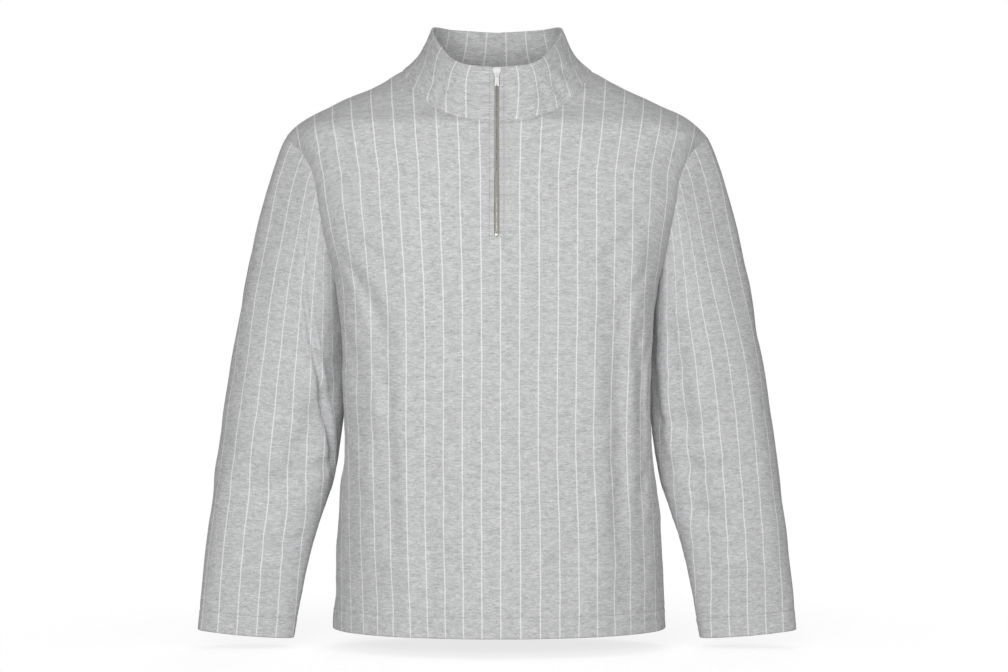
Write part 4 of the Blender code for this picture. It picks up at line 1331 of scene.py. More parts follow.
class Value:
    """A shader socket that can be used in sums with numbers and other sockets."""

    def __init__(self, tree, socket):
        self.tree = tree
        self.socket = socket

    def sum(self, operation, *others):
        values = dict(enumerate((self, *others)))
        return self.tree.add("ShaderNodeMath", {"operation": operation}, values)

    def __add__(self, other):
        return self.sum("ADD", other)

    __radd__ = __add__

    def __sub__(self, other):
        return self.sum("SUBTRACT", other)

    def __rsub__(self, other):
        return self.tree.add("ShaderNodeMath", {"operation": "SUBTRACT"}, {0: other, 1: self})

    def __mul__(self, other):
        return self.sum("MULTIPLY", other)

    __rmul__ = __mul__

    def __truediv__(self, other):
        return self.sum("DIVIDE", other)

    def __abs__(self):
        return self.sum("ABSOLUTE")

    def fraction(self):
        return self.sum("FRACT")

    def sine(self):
        return self.sum("SINE")

    def limited(self):
        return self.tree.add("ShaderNodeClamp", {}, {"Value": self})

    def between(self, low, high):
        """0 below low and 1 above high, with a soft step. low may be the larger one."""
        settings = {"interpolation_type": "SMOOTHSTEP"}
        if low > high:
            return 1 - self.between(high, low)
        return self.tree.add(
            "ShaderNodeMapRange", settings, {"Value": self, "From Min": low, "From Max": high}
        )


class Look:
    """A material's nodes."""

    def __init__(self, name):
        self.material = bpy.data.materials.new(name)
        self.material.use_nodes = True
        self.nodes = self.material.node_tree.nodes
        self.links = self.material.node_tree.links
        self.nodes.clear()

    def add(self, kind, settings=None, values=None, output=0):
        """Adds a node, with its settings first and then the values or links of its sockets."""
        node = self.nodes.new(kind)
        for name, value in (settings or {}).items():
            if name == "stops":
                self.set_stops(node.color_ramp, value)
            else:
                setattr(node, name, value)
        for name, value in (values or {}).items():
            if isinstance(value, Value):
                self.links.new(value.socket, node.inputs[name])
            else:
                node.inputs[name].default_value = value
        return Value(self, node.outputs[output]) if len(node.outputs) else None

    @staticmethod
    def set_stops(ramp, stops):
        while len(ramp.elements) < len(stops):
            ramp.elements.new(0.5)
        for element, (place, colour) in zip(ramp.elements, stops, strict=True):
            element.position = place
            element.color = colour

    def mix(self, share, a, b):
        """Colour a where share is 0 and b where it is 1."""
        return self.add(
            "ShaderNodeMix", {"data_type": "RGBA"}, {0: share, 6: a, 7: b}, output=2
        )

    def vector(self, x, y, z=0.0):
        return self.add("ShaderNodeCombineXYZ", {}, {"X": x, "Y": y, "Z": z})

    def noise(self, vector, scale=1.0, detail=2.0, roughness=0.5):
        values = {"Vector": vector, "Scale": scale, "Detail": detail, "Roughness": roughness}
        return self.add("ShaderNodeTexNoise", {}, values)

    def finish(self, surface, normal=None, **fixed):
        """Ends the nodes in one shader. Names in fixed use _ for a space."""
        values = {name.replace("_", " "): value for name, value in fixed.items()}
        values.update(surface)
        if normal is not None:
            values["Normal"] = normal
        shader = self.add("ShaderNodeBsdfPrincipled", {}, values)
        self.add("ShaderNodeOutputMaterial", {}, {"Surface": shader})
        return self.material


def colour(rgb, scale=1.0):
    return (*(channel * scale for channel in rgb), 1.0)


def jersey(name, cloth, inside=False):
    """Marled jersey with woven-in pinstripes, its courses running across."""
    look = Look(name)
    uv = look.add("ShaderNodeUVMap", {"uv_map": "cloth"})
    split = look.add("ShaderNodeSeparateXYZ", {}, {"Vector": uv})
    u = split
    v = Value(look, split.socket.node.outputs[1])
    mm = 1 / MM
    uw, vw = u * mm, v * mm
    drift = look.noise(look.vector(uw / 60, vw / 38), detail=1.0) - 0.5
    jitter = look.noise(look.vector(uw / 3, vw / 2.2), detail=1.0) - 0.5
    place = uw + drift * 1.6 + jitter * 0.5
    pitch = cloth.stripe_pitch * 1000
    half = cloth.stripe_width * 500
    cell = (place / pitch + 0.5).fraction() - 0.5
    line = (abs(cell) * pitch).between(half + 0.2, half - 0.2)
    worn = look.noise(look.vector(uw / 1.1, vw / 1.3), detail=1.0)
    line = line * (0.72 + 0.28 * worn.between(0.35, 0.55))
    fine = look.noise(look.vector(uw / 2.6, vw / 0.9), detail=2.0) - 0.5
    streak = look.noise(look.vector(uw / 7.0, vw / 1.9), detail=2.0, roughness=0.6) - 0.5
    patch = look.noise(look.vector(uw / 17, vw / 6.5), detail=2.0) - 0.5
    dark = look.noise(look.vector(uw / 4.2 + 31.7, vw / 0.9), detail=1.0).between(0.60, 0.72)
    pale = look.noise(look.vector(uw / 4.8 + 77.1, vw / 1.0), detail=1.0).between(0.61, 0.73)
    amount = cloth.marl
    shade = 0.5 + amount * (fine * 0.75 + streak * 0.9 + patch * 0.5 - dark * 0.22 + pale * 0.16)
    base = look.add(
        "ShaderNodeValToRGB",
        {"stops": (
            (0.0, colour(cloth.dark_colour)),
            (0.5, colour(cloth.cloth_colour)),
            (1.0, colour(cloth.pale_colour)),
        )},
        {"Fac": shade.limited()},
    )
    strength = 0.66 if inside else 0.78
    ink = look.mix(line * strength, base, colour(cloth.stripe_colour))
    wale = (uw * (2 * math.pi / 1.15)).sine()
    course = (vw * (2 * math.pi / 0.95) + abs(wale) * 1.2).sine()
    fuzz = look.noise(look.vector(uw / 0.8, vw / 0.6), detail=3.0)
    height = wale * 0.012 + course * 0.02 + fuzz * 0.10 + streak * 0.10 + line * 0.05
    normal = look.add(
        "ShaderNodeBump", {}, {"Strength": 0.5, "Distance": 1.0 * MM, "Height": height}
    )
    rough = 0.92 - 0.08 * fuzz
    return look.finish(
        {"Base Color": ink, "Roughness": rough},
        normal,
        Sheen_Weight=cloth.sheen,
        Sheen_Roughness=0.45,
        Specular_IOR_Level=0.25,
    )


def thread(name, rgb):
    """Sewing thread with a fine twist."""
    look = Look(name)
    spot = look.add("ShaderNodeTexCoord", {}, {}, output=3)
    split = look.add("ShaderNodeSeparateXYZ", {}, {"Vector": spot})
    z = Value(look, split.socket.node.outputs[2])
    twist = ((split + z) * (2 * math.pi / (0.45 * MM))).sine()
    patch = look.noise(spot, scale=900.0)
    # The colour follows the twist, darker in its grooves and lighter on its ridges: painted shade.
    # The patches are the thread's own uneven tone.
    shade = 0.8 + 0.1 * twist + 0.2 * patch
    tint = look.mix(shade.limited(), colour(rgb, 0.72), colour(rgb, 1.12))
    normal = look.add(
        "ShaderNodeBump", {}, {"Strength": 0.4, "Distance": 0.1 * MM, "Height": twist}
    )
    return look.finish({"Base Color": tint}, normal, Roughness=0.75, Sheen_Weight=0.2)


def woven_tape(name, rgb):
    """Twill tape that holds the teeth."""
    look = Look(name)
    spot = look.add("ShaderNodeTexCoord", {}, {}, output=3)
    split = look.add("ShaderNodeSeparateXYZ", {}, {"Vector": spot})
    z = Value(look, split.socket.node.outputs[2])
    rib = ((abs(split) + z) * (2 * math.pi / (0.9 * MM))).sine()
    patch = look.noise(spot, scale=600.0)
    # The colour follows the twill's ribs, darker in the grooves between them and lighter on top:
    # painted shade. The patches are the tape's own uneven tone.
    shade = 0.5 + 0.28 * rib + 0.3 * (patch - 0.5)
    tint = look.mix(shade.limited(), colour(rgb, 0.6), colour(rgb, 1.15))
    normal = look.add(
        "ShaderNodeBump", {}, {"Strength": 0.6, "Distance": 0.25 * MM, "Height": rib}
    )
    return look.finish({"Base Color": tint}, normal, Roughness=0.85, Sheen_Weight=0.1)


def metal(name, rgb, roughness, wear, metallic=1.0):
    """Plated zinc, a little duller in patches."""
    look = Look(name)
    spot = look.add("ShaderNodeTexCoord", {}, {}, output=3)
    patch = look.noise(spot, scale=350.0, detail=3.0)
    fine = look.noise(spot, scale=2600.0, detail=2.0)
    tint = look.mix(patch.between(0.35, 0.7), colour(rgb, 1 - wear), colour(rgb))
    rough = roughness + 0.16 * (patch - 0.5) + 0.1 * (fine - 0.5)
    normal = look.add(
        "ShaderNodeBump", {}, {"Strength": 0.15, "Distance": 0.05 * MM, "Height": fine}
    )
    return look.finish({"Base Color": tint, "Roughness": rough}, normal, Metallic=metallic)


def floor_look(name, rgb, glow):
    """A white table lit from below, which fades out into the room."""
    look = Look(name)
    spot = look.add("ShaderNodeTexCoord", {}, {}, output=3)
    away = look.add("ShaderNodeVectorMath", {"operation": "LENGTH"}, {0: spot}, output=1)
    patch = look.noise(spot, scale=0.7, detail=2.0)
    tint = look.mix(patch, colour(rgb, 0.985), colour(rgb))
    return look.finish(
        {"Base Color": tint, "Alpha": away.between(FLOOR_FADE[1], FLOOR_FADE[0])},
        Roughness=0.8,
        Specular_IOR_Level=0.1,
        Emission_Color=(1, 1, 1, 1),
        Emission_Strength=glow,
    )


# Settings that a user would change


class ClothSettings(bpy.types.PropertyGroup):
    stripe_pitch: FloatProperty(
        name="Stripe pitch", description="Distance from one stripe to the next",
        default=22.8 * MM, min=5 * MM, unit="LENGTH",
    )
    stripe_width: FloatProperty(
        name="Stripe width", description="Width of each stripe",
        default=1.4 * MM, min=0.2 * MM, unit="LENGTH",
    )
    cloth_colour: FloatVectorProperty(
        name="Cloth", description="Middle colour of the marled yarn",
        default=(0.56, 0.562, 0.568), size=3, min=0, max=1, subtype="COLOR",
    )
    dark_colour: FloatVectorProperty(
        name="Dark fibres", description="Darkest fibres in the yarn",
        default=(0.25, 0.252, 0.26), size=3, min=0, max=1, subtype="COLOR",
    )
    pale_colour: FloatVectorProperty(
        name="Pale fibres", description="Palest fibres in the yarn",
        default=(0.86, 0.862, 0.868), size=3, min=0, max=1, subtype="COLOR",
    )
    stripe_colour: FloatVectorProperty(
        name="Stripe", description="Colour of the stripes",
        default=(0.90, 0.90, 0.90), size=3, min=0, max=1, subtype="COLOR",
    )
    marl: FloatProperty(
        name="Marl", description="How mottled the yarn is", default=0.85, min=0, max=2,
    )
    sheen: FloatProperty(
        name="Sheen", description="Softness of the brushed surface at glancing angles",
        default=0.08, min=0, max=1,
    )


class SewingSettings(bpy.types.PropertyGroup):
    stitch_length: FloatProperty(
        name="Stitch length", description="Length of each stitch",
        default=3.0 * MM, min=1 * MM, unit="LENGTH",
    )
    thread_width: FloatProperty(
        name="Thread", description="Thickness of the sewing thread",
        default=0.5 * MM, min=0.1 * MM, unit="LENGTH",
    )
    thread_colour: FloatVectorProperty(
        name="Thread colour", description="Colour of the sewing thread",
        default=(0.36, 0.362, 0.37), size=3, min=0, max=1, subtype="COLOR",
    )


class ZipSettings(bpy.types.PropertyGroup):
    tooth_pitch: FloatProperty(
        name="Tooth pitch", description="Distance between teeth on one side",
        default=2.1 * MM, min=0.5 * MM, unit="LENGTH",
    )
    tooth_colour: FloatVectorProperty(
        name="Teeth", description="Colour of the teeth",
        default=(0.64, 0.63, 0.56), size=3, min=0, max=1, subtype="COLOR",
    )
    metal_colour: FloatVectorProperty(
        name="Slider", description="Colour of the slider, pull and stop",
        default=(0.96, 0.96, 0.95), size=3, min=0, max=1, subtype="COLOR",
    )
    tape_colour: FloatVectorProperty(
        name="Tape", description="Colour of the woven tape",
        default=(0.60, 0.59, 0.53), size=3, min=0, max=1, subtype="COLOR",
    )


class StageSettings(bpy.types.PropertyGroup):
    floor_height: FloatProperty(
        name="Floor", description="Height of the floor", default=-0.70, unit="LENGTH",
    )
    floor_colour: FloatVectorProperty(
        name="Floor colour", description="Colour of the floor",
        default=(0.42, 0.42, 0.42), size=3, min=0, max=1, subtype="COLOR",
    )
    world_light: FloatProperty(
        name="Room light", description="Strength of the even light from all round",
        default=0.315, min=0,
    )
    floor_glow: FloatProperty(
        name="Floor glow", description="Light that comes up through the table",
        default=0.755, min=0,
    )
    key_light: FloatProperty(
        name="Key light", description="Power of the large light in front",
        default=36.0, min=0, subtype="POWER",
    )
    lens: FloatProperty(
        name="Lens", description="Focal length on a 36 mm wide picture",
        default=89.3, min=10,
    )
    camera_distance: FloatProperty(
        name="Camera distance", description="Distance of the camera from the garment's middle",
        default=3.05, min=0.5, unit="LENGTH",
    )


# Pieces


def ride_on(ob, body_name, slot, *nodes):
    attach(ob, body_name)
    if nodes:
        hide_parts(*nodes)
    return ob


def cloth_piece(name, sheets):
    cloth = bpy.context.scene.cloth_settings
    ob = welded(sheets, name + "_cloth")
    for label, inside in (("striped_jersey", False), ("jersey_reverse", True)):
        found = bpy.data.materials.get(label)
        ob.data.materials.append(found or jersey(label, cloth, inside))
    return ride_on(ob, BODY_NAME, "jersey", name)


class MakeFront(bpy.types.Operator):
    """Makes the front, slit for the zip, with its hem turned up"""

    bl_idname = "sweatshirt.front"
    bl_label = "Front"

    def execute(self, context):
        sheets = all_sheets()
        ob = cloth_piece("front", [sheets["front_left"], sheets["front_right"]])
        return {"FINISHED"}


class MakeBack(bpy.types.Operator):
    """Makes the back, with its hem turned up"""

    bl_idname = "sweatshirt.back"
    bl_label = "Back"

    def execute(self, context):
        sheets = all_sheets()
        ob = cloth_piece("back", [sheets["back_right"], sheets["back_left"]])
        return {"FINISHED"}


class MakeSleeves(bpy.types.Operator):
    """Makes both sleeves, with their cuffs turned up"""

    bl_idname = "sweatshirt.sleeves"
    bl_label = "Sleeves"

    def execute(self, context):
        sheets = all_sheets()
        for side in ("left", "right"):
            ob = cloth_piece("sleeve_" + side, [sheets["sleeve_" + side]])
        return {"FINISHED"}


class MakeCollar(bpy.types.Operator):
    """Makes the doubled collar, folded at its top edge"""

    bl_idname = "sweatshirt.collar"
    bl_label = "Collar"

    def execute(self, context):
        ob = cloth_piece("collar", [all_sheets()["collar"]])
        return {"FINISHED"}


# Sewing


def crossing(sheet, away, distance, from_top=False):
    """Where each column of a sheet is a distance from its lower or upper edge, and its way out."""
    outer, order = sheet.outer(), slice(None, None, -1 if from_top else 1)
    both = np.concatenate([outer, sheet.normal], axis=2)[order]
    far = np.maximum.accumulate(away[order], axis=0)
    found = np.array([
        [np.interp(distance, far[:, c], both[:, c, k]) for k in range(6)]
        for c in range(outer.shape[1])
    ])
    return found[:, :3], found[:, 3:]


def zip_side(side):
    """Rows of the cloth beside the zip, from below the slit up, outward from the middle."""
    sheets = all_sheets()
    front, collar = sheets["front_" + side], sheets["collar"]
    order = slice(None) if side == "right" else slice(None, None, -1)
    rows = []
    for sheet, first in ((front, front.slit_row - TAPE_ROWS_BELOW), (collar, 1)):
        outer = sheet.outer()
        for r in range(first, len(outer)):
            parts = (sheet.grid[r, order], sheet.normal[r, order], outer[r, order])
            rows.append(np.concatenate(parts, axis=1)[:16])
    return rows


def beside_zip(rows, out, kind=0):
    """The point of each row at a distance out from the middle, and its way out.

    kind is 0 for the cloth's plain form and 6 for its worked outside.
    """
    spots = np.array([
        [np.interp(out, np.abs(row[:, 0]), row[:, k]) for k in (kind, kind + 1, kind + 2, 3, 4, 5)]
        for row in rows
    ])
    way = spots[:, 3:] / np.linalg.norm(spots[:, 3:], axis=1, keepdims=True)
    return spots[:, :3], way


def zip_stitch_line():
    """The stitching down one side of the zip, across below it and up the other side."""
    below = all_sheets()["front_right"].slit_row
    height = all_sheets()["front_right"].grid[below, 0, 2] - ZIP_BOX_LOW
    halves = []
    for side, mirror in (("left", -1), ("right", 1)):
        rows = zip_side(side)
        spots, way = beside_zip(rows, ZIP_STITCH, 6)
        keep = spots[:, 2] > height
        corner = []
        for out in np.linspace(ZIP_STITCH, 0, 7):
            line, line_way = beside_zip(rows, out, 6)
            both = np.concatenate([line, line_way], axis=1)
            corner.append([np.interp(height, line[:, 2], both[:, k]) for k in range(6)])
            corner[-1][0] = mirror * out
        halves.append((np.concatenate([spots, way], axis=1)[keep], np.array(corner)))
    (left, left_corner), (right, right_corner) = halves
    line = np.concatenate([left[::-1], left_corner, right_corner[::-1][1:], right])
    return line[:, :3], line[:, 3:]


def stitches(line, ways, length, width):
    """Rings of points round each stitch of a row, whose ends dip into the cloth."""
    along = lengths(line)
    count = int(along[-1] / length)
    at = (np.arange(count)[:, None] + np.array(STITCH_SHARES)) * along[-1] / count
    spots, up = at_distance(line, along, at), at_distance(ways, along, at)
    ahead = np.gradient(spots, axis=1)
    ahead /= np.linalg.norm(ahead, axis=2, keepdims=True)
    side = np.cross(up, ahead)
    side /= np.linalg.norm(side, axis=2, keepdims=True)
    up = np.cross(ahead, side)
    centre = spots + up * (np.array(STITCH_RISE) * width)[:, None]
    turn = np.arange(STITCH_SIDES)[:, None] * 2 * math.pi / STITCH_SIDES
    ring = side[:, :, None] * np.cos(turn) + up[:, :, None] * np.sin(turn)
    return centre[:, :, None] + ring * (np.array(STITCH_BODY) * width / 2)[:, None, None]


def stitched_piece(name, rows):
    """One piece of all the stitches along some rows, each given by its line and way out."""
    sewing = bpy.context.scene.sewing_settings
    rings = np.concatenate([
        stitches(line, ways, sewing.stitch_length, sewing.thread_width) for line, ways in rows
    ])
    index = np.arange(rings[..., 0].size).reshape(rings.shape[:3])
    a, b = index[:, :-1], index[:, 1:]
    quads = np.stack([a, np.roll(a, -1, 2), np.roll(b, -1, 2), b], axis=-1).reshape(-1, 4)
    faces = quads.tolist() + index[:, 0, ::-1].tolist() + index[:, -1].tolist()
    mesh = bpy.data.meshes.new(name)
    mesh.from_pydata(rings.reshape(-1, 3).tolist(), [], faces)
    mesh.shade_smooth()
    label = "sewing_thread"
    mesh.materials.append(bpy.data.materials.get(label) or thread(label, sewing.thread_colour))
    return ride_on(placed(mesh), BODY_NAME, "jersey")


def placed(mesh):
    ob = bpy.data.objects.new(mesh.name, mesh)
    bpy.context.scene.collection.objects.link(ob)
    return ob


# Zip


def zip_middle():
    """The zip's middle line from the collar's top down, with the way out of it."""
    rows = zip_side("right")[::-1]
    line = np.array([row[0, :3] for row in rows]) * (0, 1, 1)
    out = np.array([row[0, 3:6] for row in rows]) * (0, 1, 1)
    return line, out / np.linalg.norm(out, axis=1, keepdims=True), lengths(line)


def zip_frame(line, out, along, place):
    """The matrix of a spot on the zip: across, out of the cloth and down are x, -y and -z."""
    spot, way = at_distance(line, along, [place])[0], at_distance(out, along, [place])[0]
    ahead = at_distance(line, along, [place + 1 * MM])[0] - spot
    down = Vector(ahead).normalized()
    x = Vector((1, 0, 0))
    y = down.cross(x)
    if y.dot(Vector(way)) > 0:
        y = -y
    return Matrix.Translation(spot) @ Matrix((x, y, -down)).transposed().to_4x4()


def slider_frame():
    """The matrix of the slider and pull, whose origin is on the collar's top edge."""
    line, _, along = zip_middle()
    a, b = at_distance(line, along, np.array([0, 14 * MM]))
    tilt = -math.atan2(a[1] - b[1], a[2] - b[2])
    return Matrix.Translation(a) @ Matrix.Rotation(tilt, 4, "X")


def rounded(outline, times=2):
    """A closed outline with its corners cut off a few times over."""
    points = np.array(outline, float)
    for _ in range(times):
        after = np.roll(points, -1, axis=0)
        cut = np.stack([0.8 * points + 0.2 * after, 0.2 * points + 0.8 * after], axis=1)
        points = cut.reshape(-1, 2)
    return points


def mirrored(half):
    """The whole of an outline whose right half runs from its top to its bottom."""
    return list(half) + [(-x, down) for x, down in reversed(half) if x > 0]


def stamped(bm, place, outlines, low, high, edge):
    """Adds a plate with rounded edges, from one height off the cloth to another.

    The first outline of (across, down) points in millimetres is its rim, the others are holes.
    """
    curve = bpy.data.curves.new("outline", "CURVE")
    curve.dimensions = "2D"
    curve.fill_mode = "BOTH"
    curve.extrude = (high - low) / 2 - edge
    curve.bevel_depth = edge
    curve.bevel_resolution = 2
    curve.offset = -edge
    for outline in outlines:
        spline = curve.splines.new("POLY")
        spline.points.add(len(outline) - 1)
        for point, (x, down) in zip(spline.points, outline, strict=True):
            point.co = (x * MM, -down * MM, 0, 1)
        spline.use_cyclic_u = True
    helper = bpy.data.objects.new("outline", curve)
    bpy.context.scene.collection.objects.link(helper)
    shape = helper.evaluated_get(bpy.context.evaluated_depsgraph_get())
    mesh = bpy.data.meshes.new_from_object(shape)
    upright = Matrix.Rotation(math.pi / 2, 4, "X") @ Matrix.Translation((0, 0, (low + high) / 2))
    mesh.transform(place @ upright)
    bm.from_mesh(mesh)
    bpy.data.objects.remove(helper)
    bpy.data.curves.remove(curve)
    bpy.data.meshes.remove(mesh)


def lofted(bm, loops):
    """Adds a closed solid through equal loops of points."""
    verts = [[bm.verts.new(p) for p in loop] for loop in loops]
    count = len(verts[0])
    for a, b in zip(verts, verts[1:]):
        for i in range(count):
            bm.faces.new((a[i], a[(i + 1) % count], b[(i + 1) % count], b[i]))
    bm.faces.new(verts[0])
    bm.faces.new(verts[-1])


def finished(bm, name, look, sharp=40):
    """The piece made of what was added, with its broader corners left crisp."""
    bmesh.ops.remove_doubles(bm, verts=bm.verts, dist=0.002 * MM)
    bmesh.ops.recalc_face_normals(bm, faces=bm.faces)
    mesh = bpy.data.meshes.new(name)
    bm.to_mesh(mesh)
    bm.free()
    mesh.shade_smooth()
    mesh.set_sharp_from_angle(angle=math.radians(sharp))
    mesh.materials.append(look)
    return placed(mesh)


def swept(place, path, half_wide, half_thick):
    """Loops of a rounded bar that follows a path of (down, out) points."""
    path = np.array(path)
    ahead = np.gradient(path, axis=0)
    ahead /= np.linalg.norm(ahead, axis=1, keepdims=True)
    turn = np.linspace(0, 2 * math.pi, BAR_SIDES, endpoint=False)
    power = BAR_ROUNDNESS
    x = half_wide * np.sign(np.cos(turn)) * np.abs(np.cos(turn)) ** power
    aside = half_thick * np.sign(np.sin(turn)) * np.abs(np.sin(turn)) ** power
    loops = []
    for (down, out), (a, b) in zip(path, ahead, strict=True):
        loops.append([
            place @ Vector((i, -(out + a * j), -(down - b * j)))
            for i, j in zip(x, aside, strict=True)
        ])
    return loops


def make_tape(side, look):
    mirror = 1 if side == "right" else -1
    rows = zip_side(side)[:-3]
    face, back = [], []
    for out, deep in zip(TAPE_ACROSS, TAPE_DEEP, strict=True):
        spots, way = beside_zip(rows, out * MM)
        spots[:, 0] = mirror * out * MM
        face.append(spots - way * deep * MM)
        back.append(face[-1] - way * TAPE_THICK)
    loops = np.concatenate([np.array(face), np.array(back)[::-1]]).transpose(1, 0, 2)
    bm = bmesh.new()
    lofted(bm, loops)
    return finished(bm, "woven_tape_" + side, look, sharp=60)


def make_teeth(look, pitch):
    """Two rows of teeth that take turns across the middle."""
    line, out, along = zip_middle()
    last = np.interp(-CHAIN_LOW, -line[:, 2], along)
    outline = np.array(TOOTH)
    middle = outline.mean(axis=0)
    small = outline + (middle - outline) * 0.12
    bm = bmesh.new()
    layers = (
        (small, -TOOTH_THICK / 2),
        (outline, -TOOTH_THICK / 2 + TOOTH_EDGE),
        (outline, TOOTH_THICK / 2 - TOOTH_EDGE),
        (small, TOOTH_THICK / 2),
    )
    count = int((last - CHAIN_START) / (pitch / 2))
    for k in range(count):
        place = zip_frame(line, out, along, CHAIN_START + (k + 0.5) * pitch / 2)
        mirror = 1 if k % 2 else -1
        lofted(bm, [
            [place @ Vector((-mirror * x * MM, -y * MM, down)) for x, y in ring]
            for ring, down in layers
        ])
    return finished(bm, "zip_teeth", look)


class MakeStitching(bpy.types.Operator):
    """Sews the hem, the cuffs, the neck seam and the edges beside the zip"""

    bl_idname = "sweatshirt.stitching"
    bl_label = "Stitching"

    def execute(self, context):
        sheets = all_sheets()
        round_hem = [
            crossing(sheets[name], sheets[name].from_hem, HEM_BAND)
            for name in ("front_left", "front_right", "back_right", "back_left")
        ]
        stitched_piece("hem_stitching", [tuple(map(np.concatenate, zip(*round_hem)))])
        for side in ("left", "right"):
            cuff = sheets["sleeve_" + side]
            stitched_piece("cuff_stitching_" + side, [crossing(cuff, cuff.from_hem, HEM_BAND)])
        stitched_piece("zip_stitching", [zip_stitch_line()])
        neck = []
        for name in ("front_left", "front_right", "back_right", "back_left"):
            sheet = sheets[name]
            spots, ways = crossing(sheet, sheet.from_neck, NECK_STITCH, from_top=True)
            keep = np.abs(spots[:, 0]) < NECK_STITCH_END
            keep &= (np.abs(spots[:, 0]) > ZIP_STITCH) | (sheet.owner == "back")
            spots, ways = spots[keep], ways[keep]
            neck.append((spots, ways))
        front = [neck[0], neck[1]]
        back = tuple(np.concatenate(parts) for parts in zip(neck[2], neck[3]))
        stitched_piece("neck_stitching", [*front, back])
        return {"FINISHED"}


class MakeZip(bpy.types.Operator):
    """Makes the zip's tapes, teeth and bottom stop"""

    bl_idname = "sweatshirt.zip"
    bl_label = "Zip"

    def execute(self, context):
        settings = context.scene.zip_settings
        tape = woven_tape("woven_tape", settings.tape_colour)
        for side in ("left", "right"):
            ride_on(make_tape(side, tape), BODY_NAME, "zip_tape", "zip_tape_" + side)
        teeth = metal("tooth_metal", settings.tooth_colour, roughness=0.34, wear=0.35)
        ride_on(make_teeth(teeth, settings.tooth_pitch), BODY_NAME, "zip_teeth", "zip_chain")
        line, out, along = zip_middle()
        place = zip_frame(line, out, along, np.interp(-STOP_MIDDLE, -line[:, 2], along))
        bm = bmesh.new()
        stamped(bm, place, [rounded(CLIP, 1)], -3.0 * MM, 0.1 * MM, 0.3 * MM)
        ride_on(finished(bm, "bottom_stop", teeth), BODY_NAME, "bright_metal", "zip_stop")
        return {"FINISHED"}


class MakeSlider(bpy.types.Operator):
    """Makes the slider and the pull tab that hangs from its arch"""

    bl_idname = "sweatshirt.slider"
    bl_label = "Slider and pull"

    def execute(self, context):
        rgb = context.scene.zip_settings.metal_colour
        look = metal("bright_metal_plate", rgb, roughness=0.4, wear=0.06, metallic=0.25)
        top = slider_frame()
        bm = bmesh.new()
        shield = mirrored(SHIELD)
        back = mirrored([(x * 0.9, down) for x, down in SHIELD[:-1]])
        front_face = PLATE_OUT + PLATE_THICK
        back_face = -BACK_PLATE_IN - BACK_PLATE_THICK
        stamped(bm, top, [rounded(shield)], PLATE_OUT, front_face, 0.35 * MM)
        stamped(bm, top, [rounded(back)], back_face, -BACK_PLATE_IN, 0.3 * MM)
        stamped(bm, top, [rounded(WEDGE, 1)], -5.6 * MM, 1.2 * MM, 0.2 * MM)
        ring = [
            [(r * math.cos(a), RING_DOWN + r * math.sin(a)) for a in np.arange(32) * math.pi / 16]
            for r in RING_RADII
        ]
        stamped(bm, top, ring, front_face - 0.3 * MM, front_face + RING_RISE, 0.12 * MM)
        turn = np.linspace(0, math.pi, 17)
        arc = [
            (HINGE_ALONG + BAIL_MIDDLE * math.cos(a), HINGE_OUT + BAIL_MIDDLE * math.sin(a))
            for a in turn
        ]
        low = front_face - 0.5 * MM
        path = [(HINGE_ALONG + BAIL_MIDDLE, low), *arc, (HINGE_ALONG - BAIL_MIDDLE, low)]
        lofted(bm, swept(top, path, BAIL_HALF_WIDE, BAIL_HALF))
        slider = finished(bm, "slider", look)
        ride_on(slider, BODY_NAME, "bright_metal", "zip_slider")
        hinge = top @ Matrix.Translation((0, -HINGE_OUT, -HINGE_ALONG))
        bm = bmesh.new()
        tab, slot = rounded(mirrored(PULL_SIDE)), rounded(PULL_SLOT)
        stamped(bm, hinge, [tab, slot], -0.5 * MM, 0.5 * MM, 0.22 * MM)
        ride_on(finished(bm, "pull_tab", look), PULL_NAME, "bright_metal", "zip_pull")
        return {"FINISHED"}


# Studio

GARMENT_MIDDLE = (0.0085, 0.0, -0.322)
LIGHT_TARGET = (0, 0, -0.35)
LIGHTS = (
    # name, place, size, share of the key light's power
    ("key", (-0.5, -2.4, -0.1), 1.3, 1.0),
    ("fill", (1.5, -2.5, 0.0), 1.6, 0.45),
    ("back", (0.4, 2.4, 1.7), 1.6, 0.4),
)
FLOOR_FADE = (0.28, 0.75)


def area_light(name, place, size, power):
    light = bpy.data.lights.new(name, "AREA")
    light.shape = "SQUARE"
    light.size = size
    light.energy = power
    ob = bpy.data.objects.new(name, light)
    ob.location = place
    way = Vector(LIGHT_TARGET) - Vector(place)
    ob.rotation_euler = way.to_track_quat("-Z", "Y").to_euler()
    ob.visible_camera = False
    bpy.context.scene.collection.objects.link(ob)
    return ob


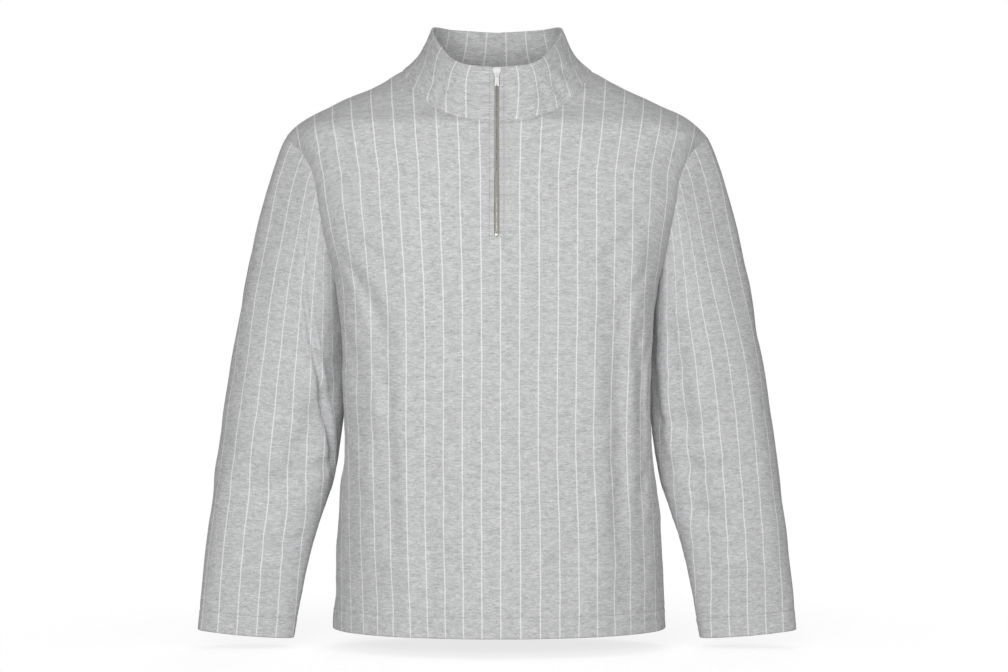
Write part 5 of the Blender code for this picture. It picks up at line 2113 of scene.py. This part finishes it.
class MakeStage(bpy.types.Operator):
    """Makes the floor, the soft lights and the camera"""

    bl_idname = "sweatshirt.stage"
    bl_label = "Studio"

    def execute(self, context):
        stage = context.scene.stage_settings
        context.scene.view_settings.view_transform = "Standard"
        bm = bmesh.new()
        bmesh.ops.create_circle(bm, cap_ends=True, segments=96, radius=FLOOR_FADE[1])
        mesh = bpy.data.meshes.new("floor")
        bm.to_mesh(mesh)
        bm.free()
        floor = bpy.data.objects.new("floor", mesh)
        floor.location = (0, 0, stage.floor_height)
        mesh.materials.append(floor_look("floor", stage.floor_colour, stage.floor_glow))
        context.scene.collection.objects.link(floor)
        # The floor throws no light back on the garment; the room's own light does that.
        floor.visible_diffuse = False
        floor.visible_glossy = False
        self.light_room(context, stage)
        for name, place, size, share in LIGHTS:
            area_light(name, place, size, stage.key_light * share)
        camera = bpy.data.cameras.new("camera")
        camera.lens = stage.lens
        camera.sensor_width = 36
        camera.sensor_fit = "HORIZONTAL"
        camera.clip_start = 0.05
        camera.dof.use_dof = False
        ob = bpy.data.objects.new("camera", camera)
        x, _, z = GARMENT_MIDDLE
        ob.location = (x, -stage.camera_distance, z)
        ob.rotation_euler = (math.pi / 2, 0, 0)
        context.scene.collection.objects.link(ob)
        context.scene.camera = ob
        return {"FINISHED"}

    @staticmethod
    def light_room(context, stage):
        """Lights the room softly, against a plain white surround."""
        world = bpy.data.worlds.new("studio")
        world.use_nodes = True
        nodes, links = world.node_tree.nodes, world.node_tree.links
        room = nodes["Background"]
        room.inputs["Color"].default_value = (1, 1, 1, 1)
        stage_rise = (-0.5, 0.5, 0.75 * stage.world_light, stage.world_light)
        surround = nodes.new("ShaderNodeBackground")
        surround.inputs["Color"].default_value = (1, 1, 1, 1)
        # Less light comes from below than from above.
        way = nodes.new("ShaderNodeTexCoord")
        split = nodes.new("ShaderNodeSeparateXYZ")
        rise = nodes.new("ShaderNodeMapRange")
        for name, value in zip(("From Min", "From Max", "To Min", "To Max"), stage_rise):
            rise.inputs[name].default_value = value
        links.new(way.outputs["Generated"], split.inputs[0])
        links.new(split.outputs["Z"], rise.inputs["Value"])
        links.new(rise.outputs[0], room.inputs["Strength"])
        path = nodes.new("ShaderNodeLightPath")
        both = nodes.new("ShaderNodeMixShader")
        links.new(path.outputs["Is Camera Ray"], both.inputs[0])
        links.new(room.outputs[0], both.inputs[1])
        links.new(surround.outputs[0], both.inputs[2])
        links.new(both.outputs[0], nodes["World Output"].inputs["Surface"])
        context.scene.world = world


class SweatshirtPanel(bpy.types.Panel):
    bl_label = "Sweatshirt"
    bl_idname = "VIEW3D_PT_sweatshirt"
    bl_space_type = "VIEW_3D"
    bl_region_type = "UI"
    bl_category = "Sweatshirt"

    def draw(self, context):
        for name, group in SETTINGS.items():
            box = self.layout.box()
            for key in group.__annotations__:
                box.prop(getattr(context.scene, name), key)
        for operator in OPERATORS:
            self.layout.operator(operator.bl_idname)


SETTINGS = {
    "cloth_settings": ClothSettings,
    "sewing_settings": SewingSettings,
    "zip_settings": ZipSettings,
    "stage_settings": StageSettings,
}
OPERATORS = (
    MakeFront, MakeBack, MakeSleeves, MakeCollar, MakeStitching, MakeZip, MakeSlider, MakeStage
)
CLASSES = (*SETTINGS.values(), *OPERATORS, SweatshirtPanel)


def register():
    for item in CLASSES:
        bpy.utils.register_class(item)
    for name, group in SETTINGS.items():
        setattr(bpy.types.Scene, name, PointerProperty(type=group))


def unregister():
    for name in SETTINGS:
        delattr(bpy.types.Scene, name)
    for item in reversed(CLASSES):
        bpy.utils.unregister_class(item)


def main():
    register()
    for operator in OPERATORS:
        group, name = operator.bl_idname.split(".")
        getattr(getattr(bpy.ops, group), name)()
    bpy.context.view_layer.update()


if __name__ == "__main__":
    main()
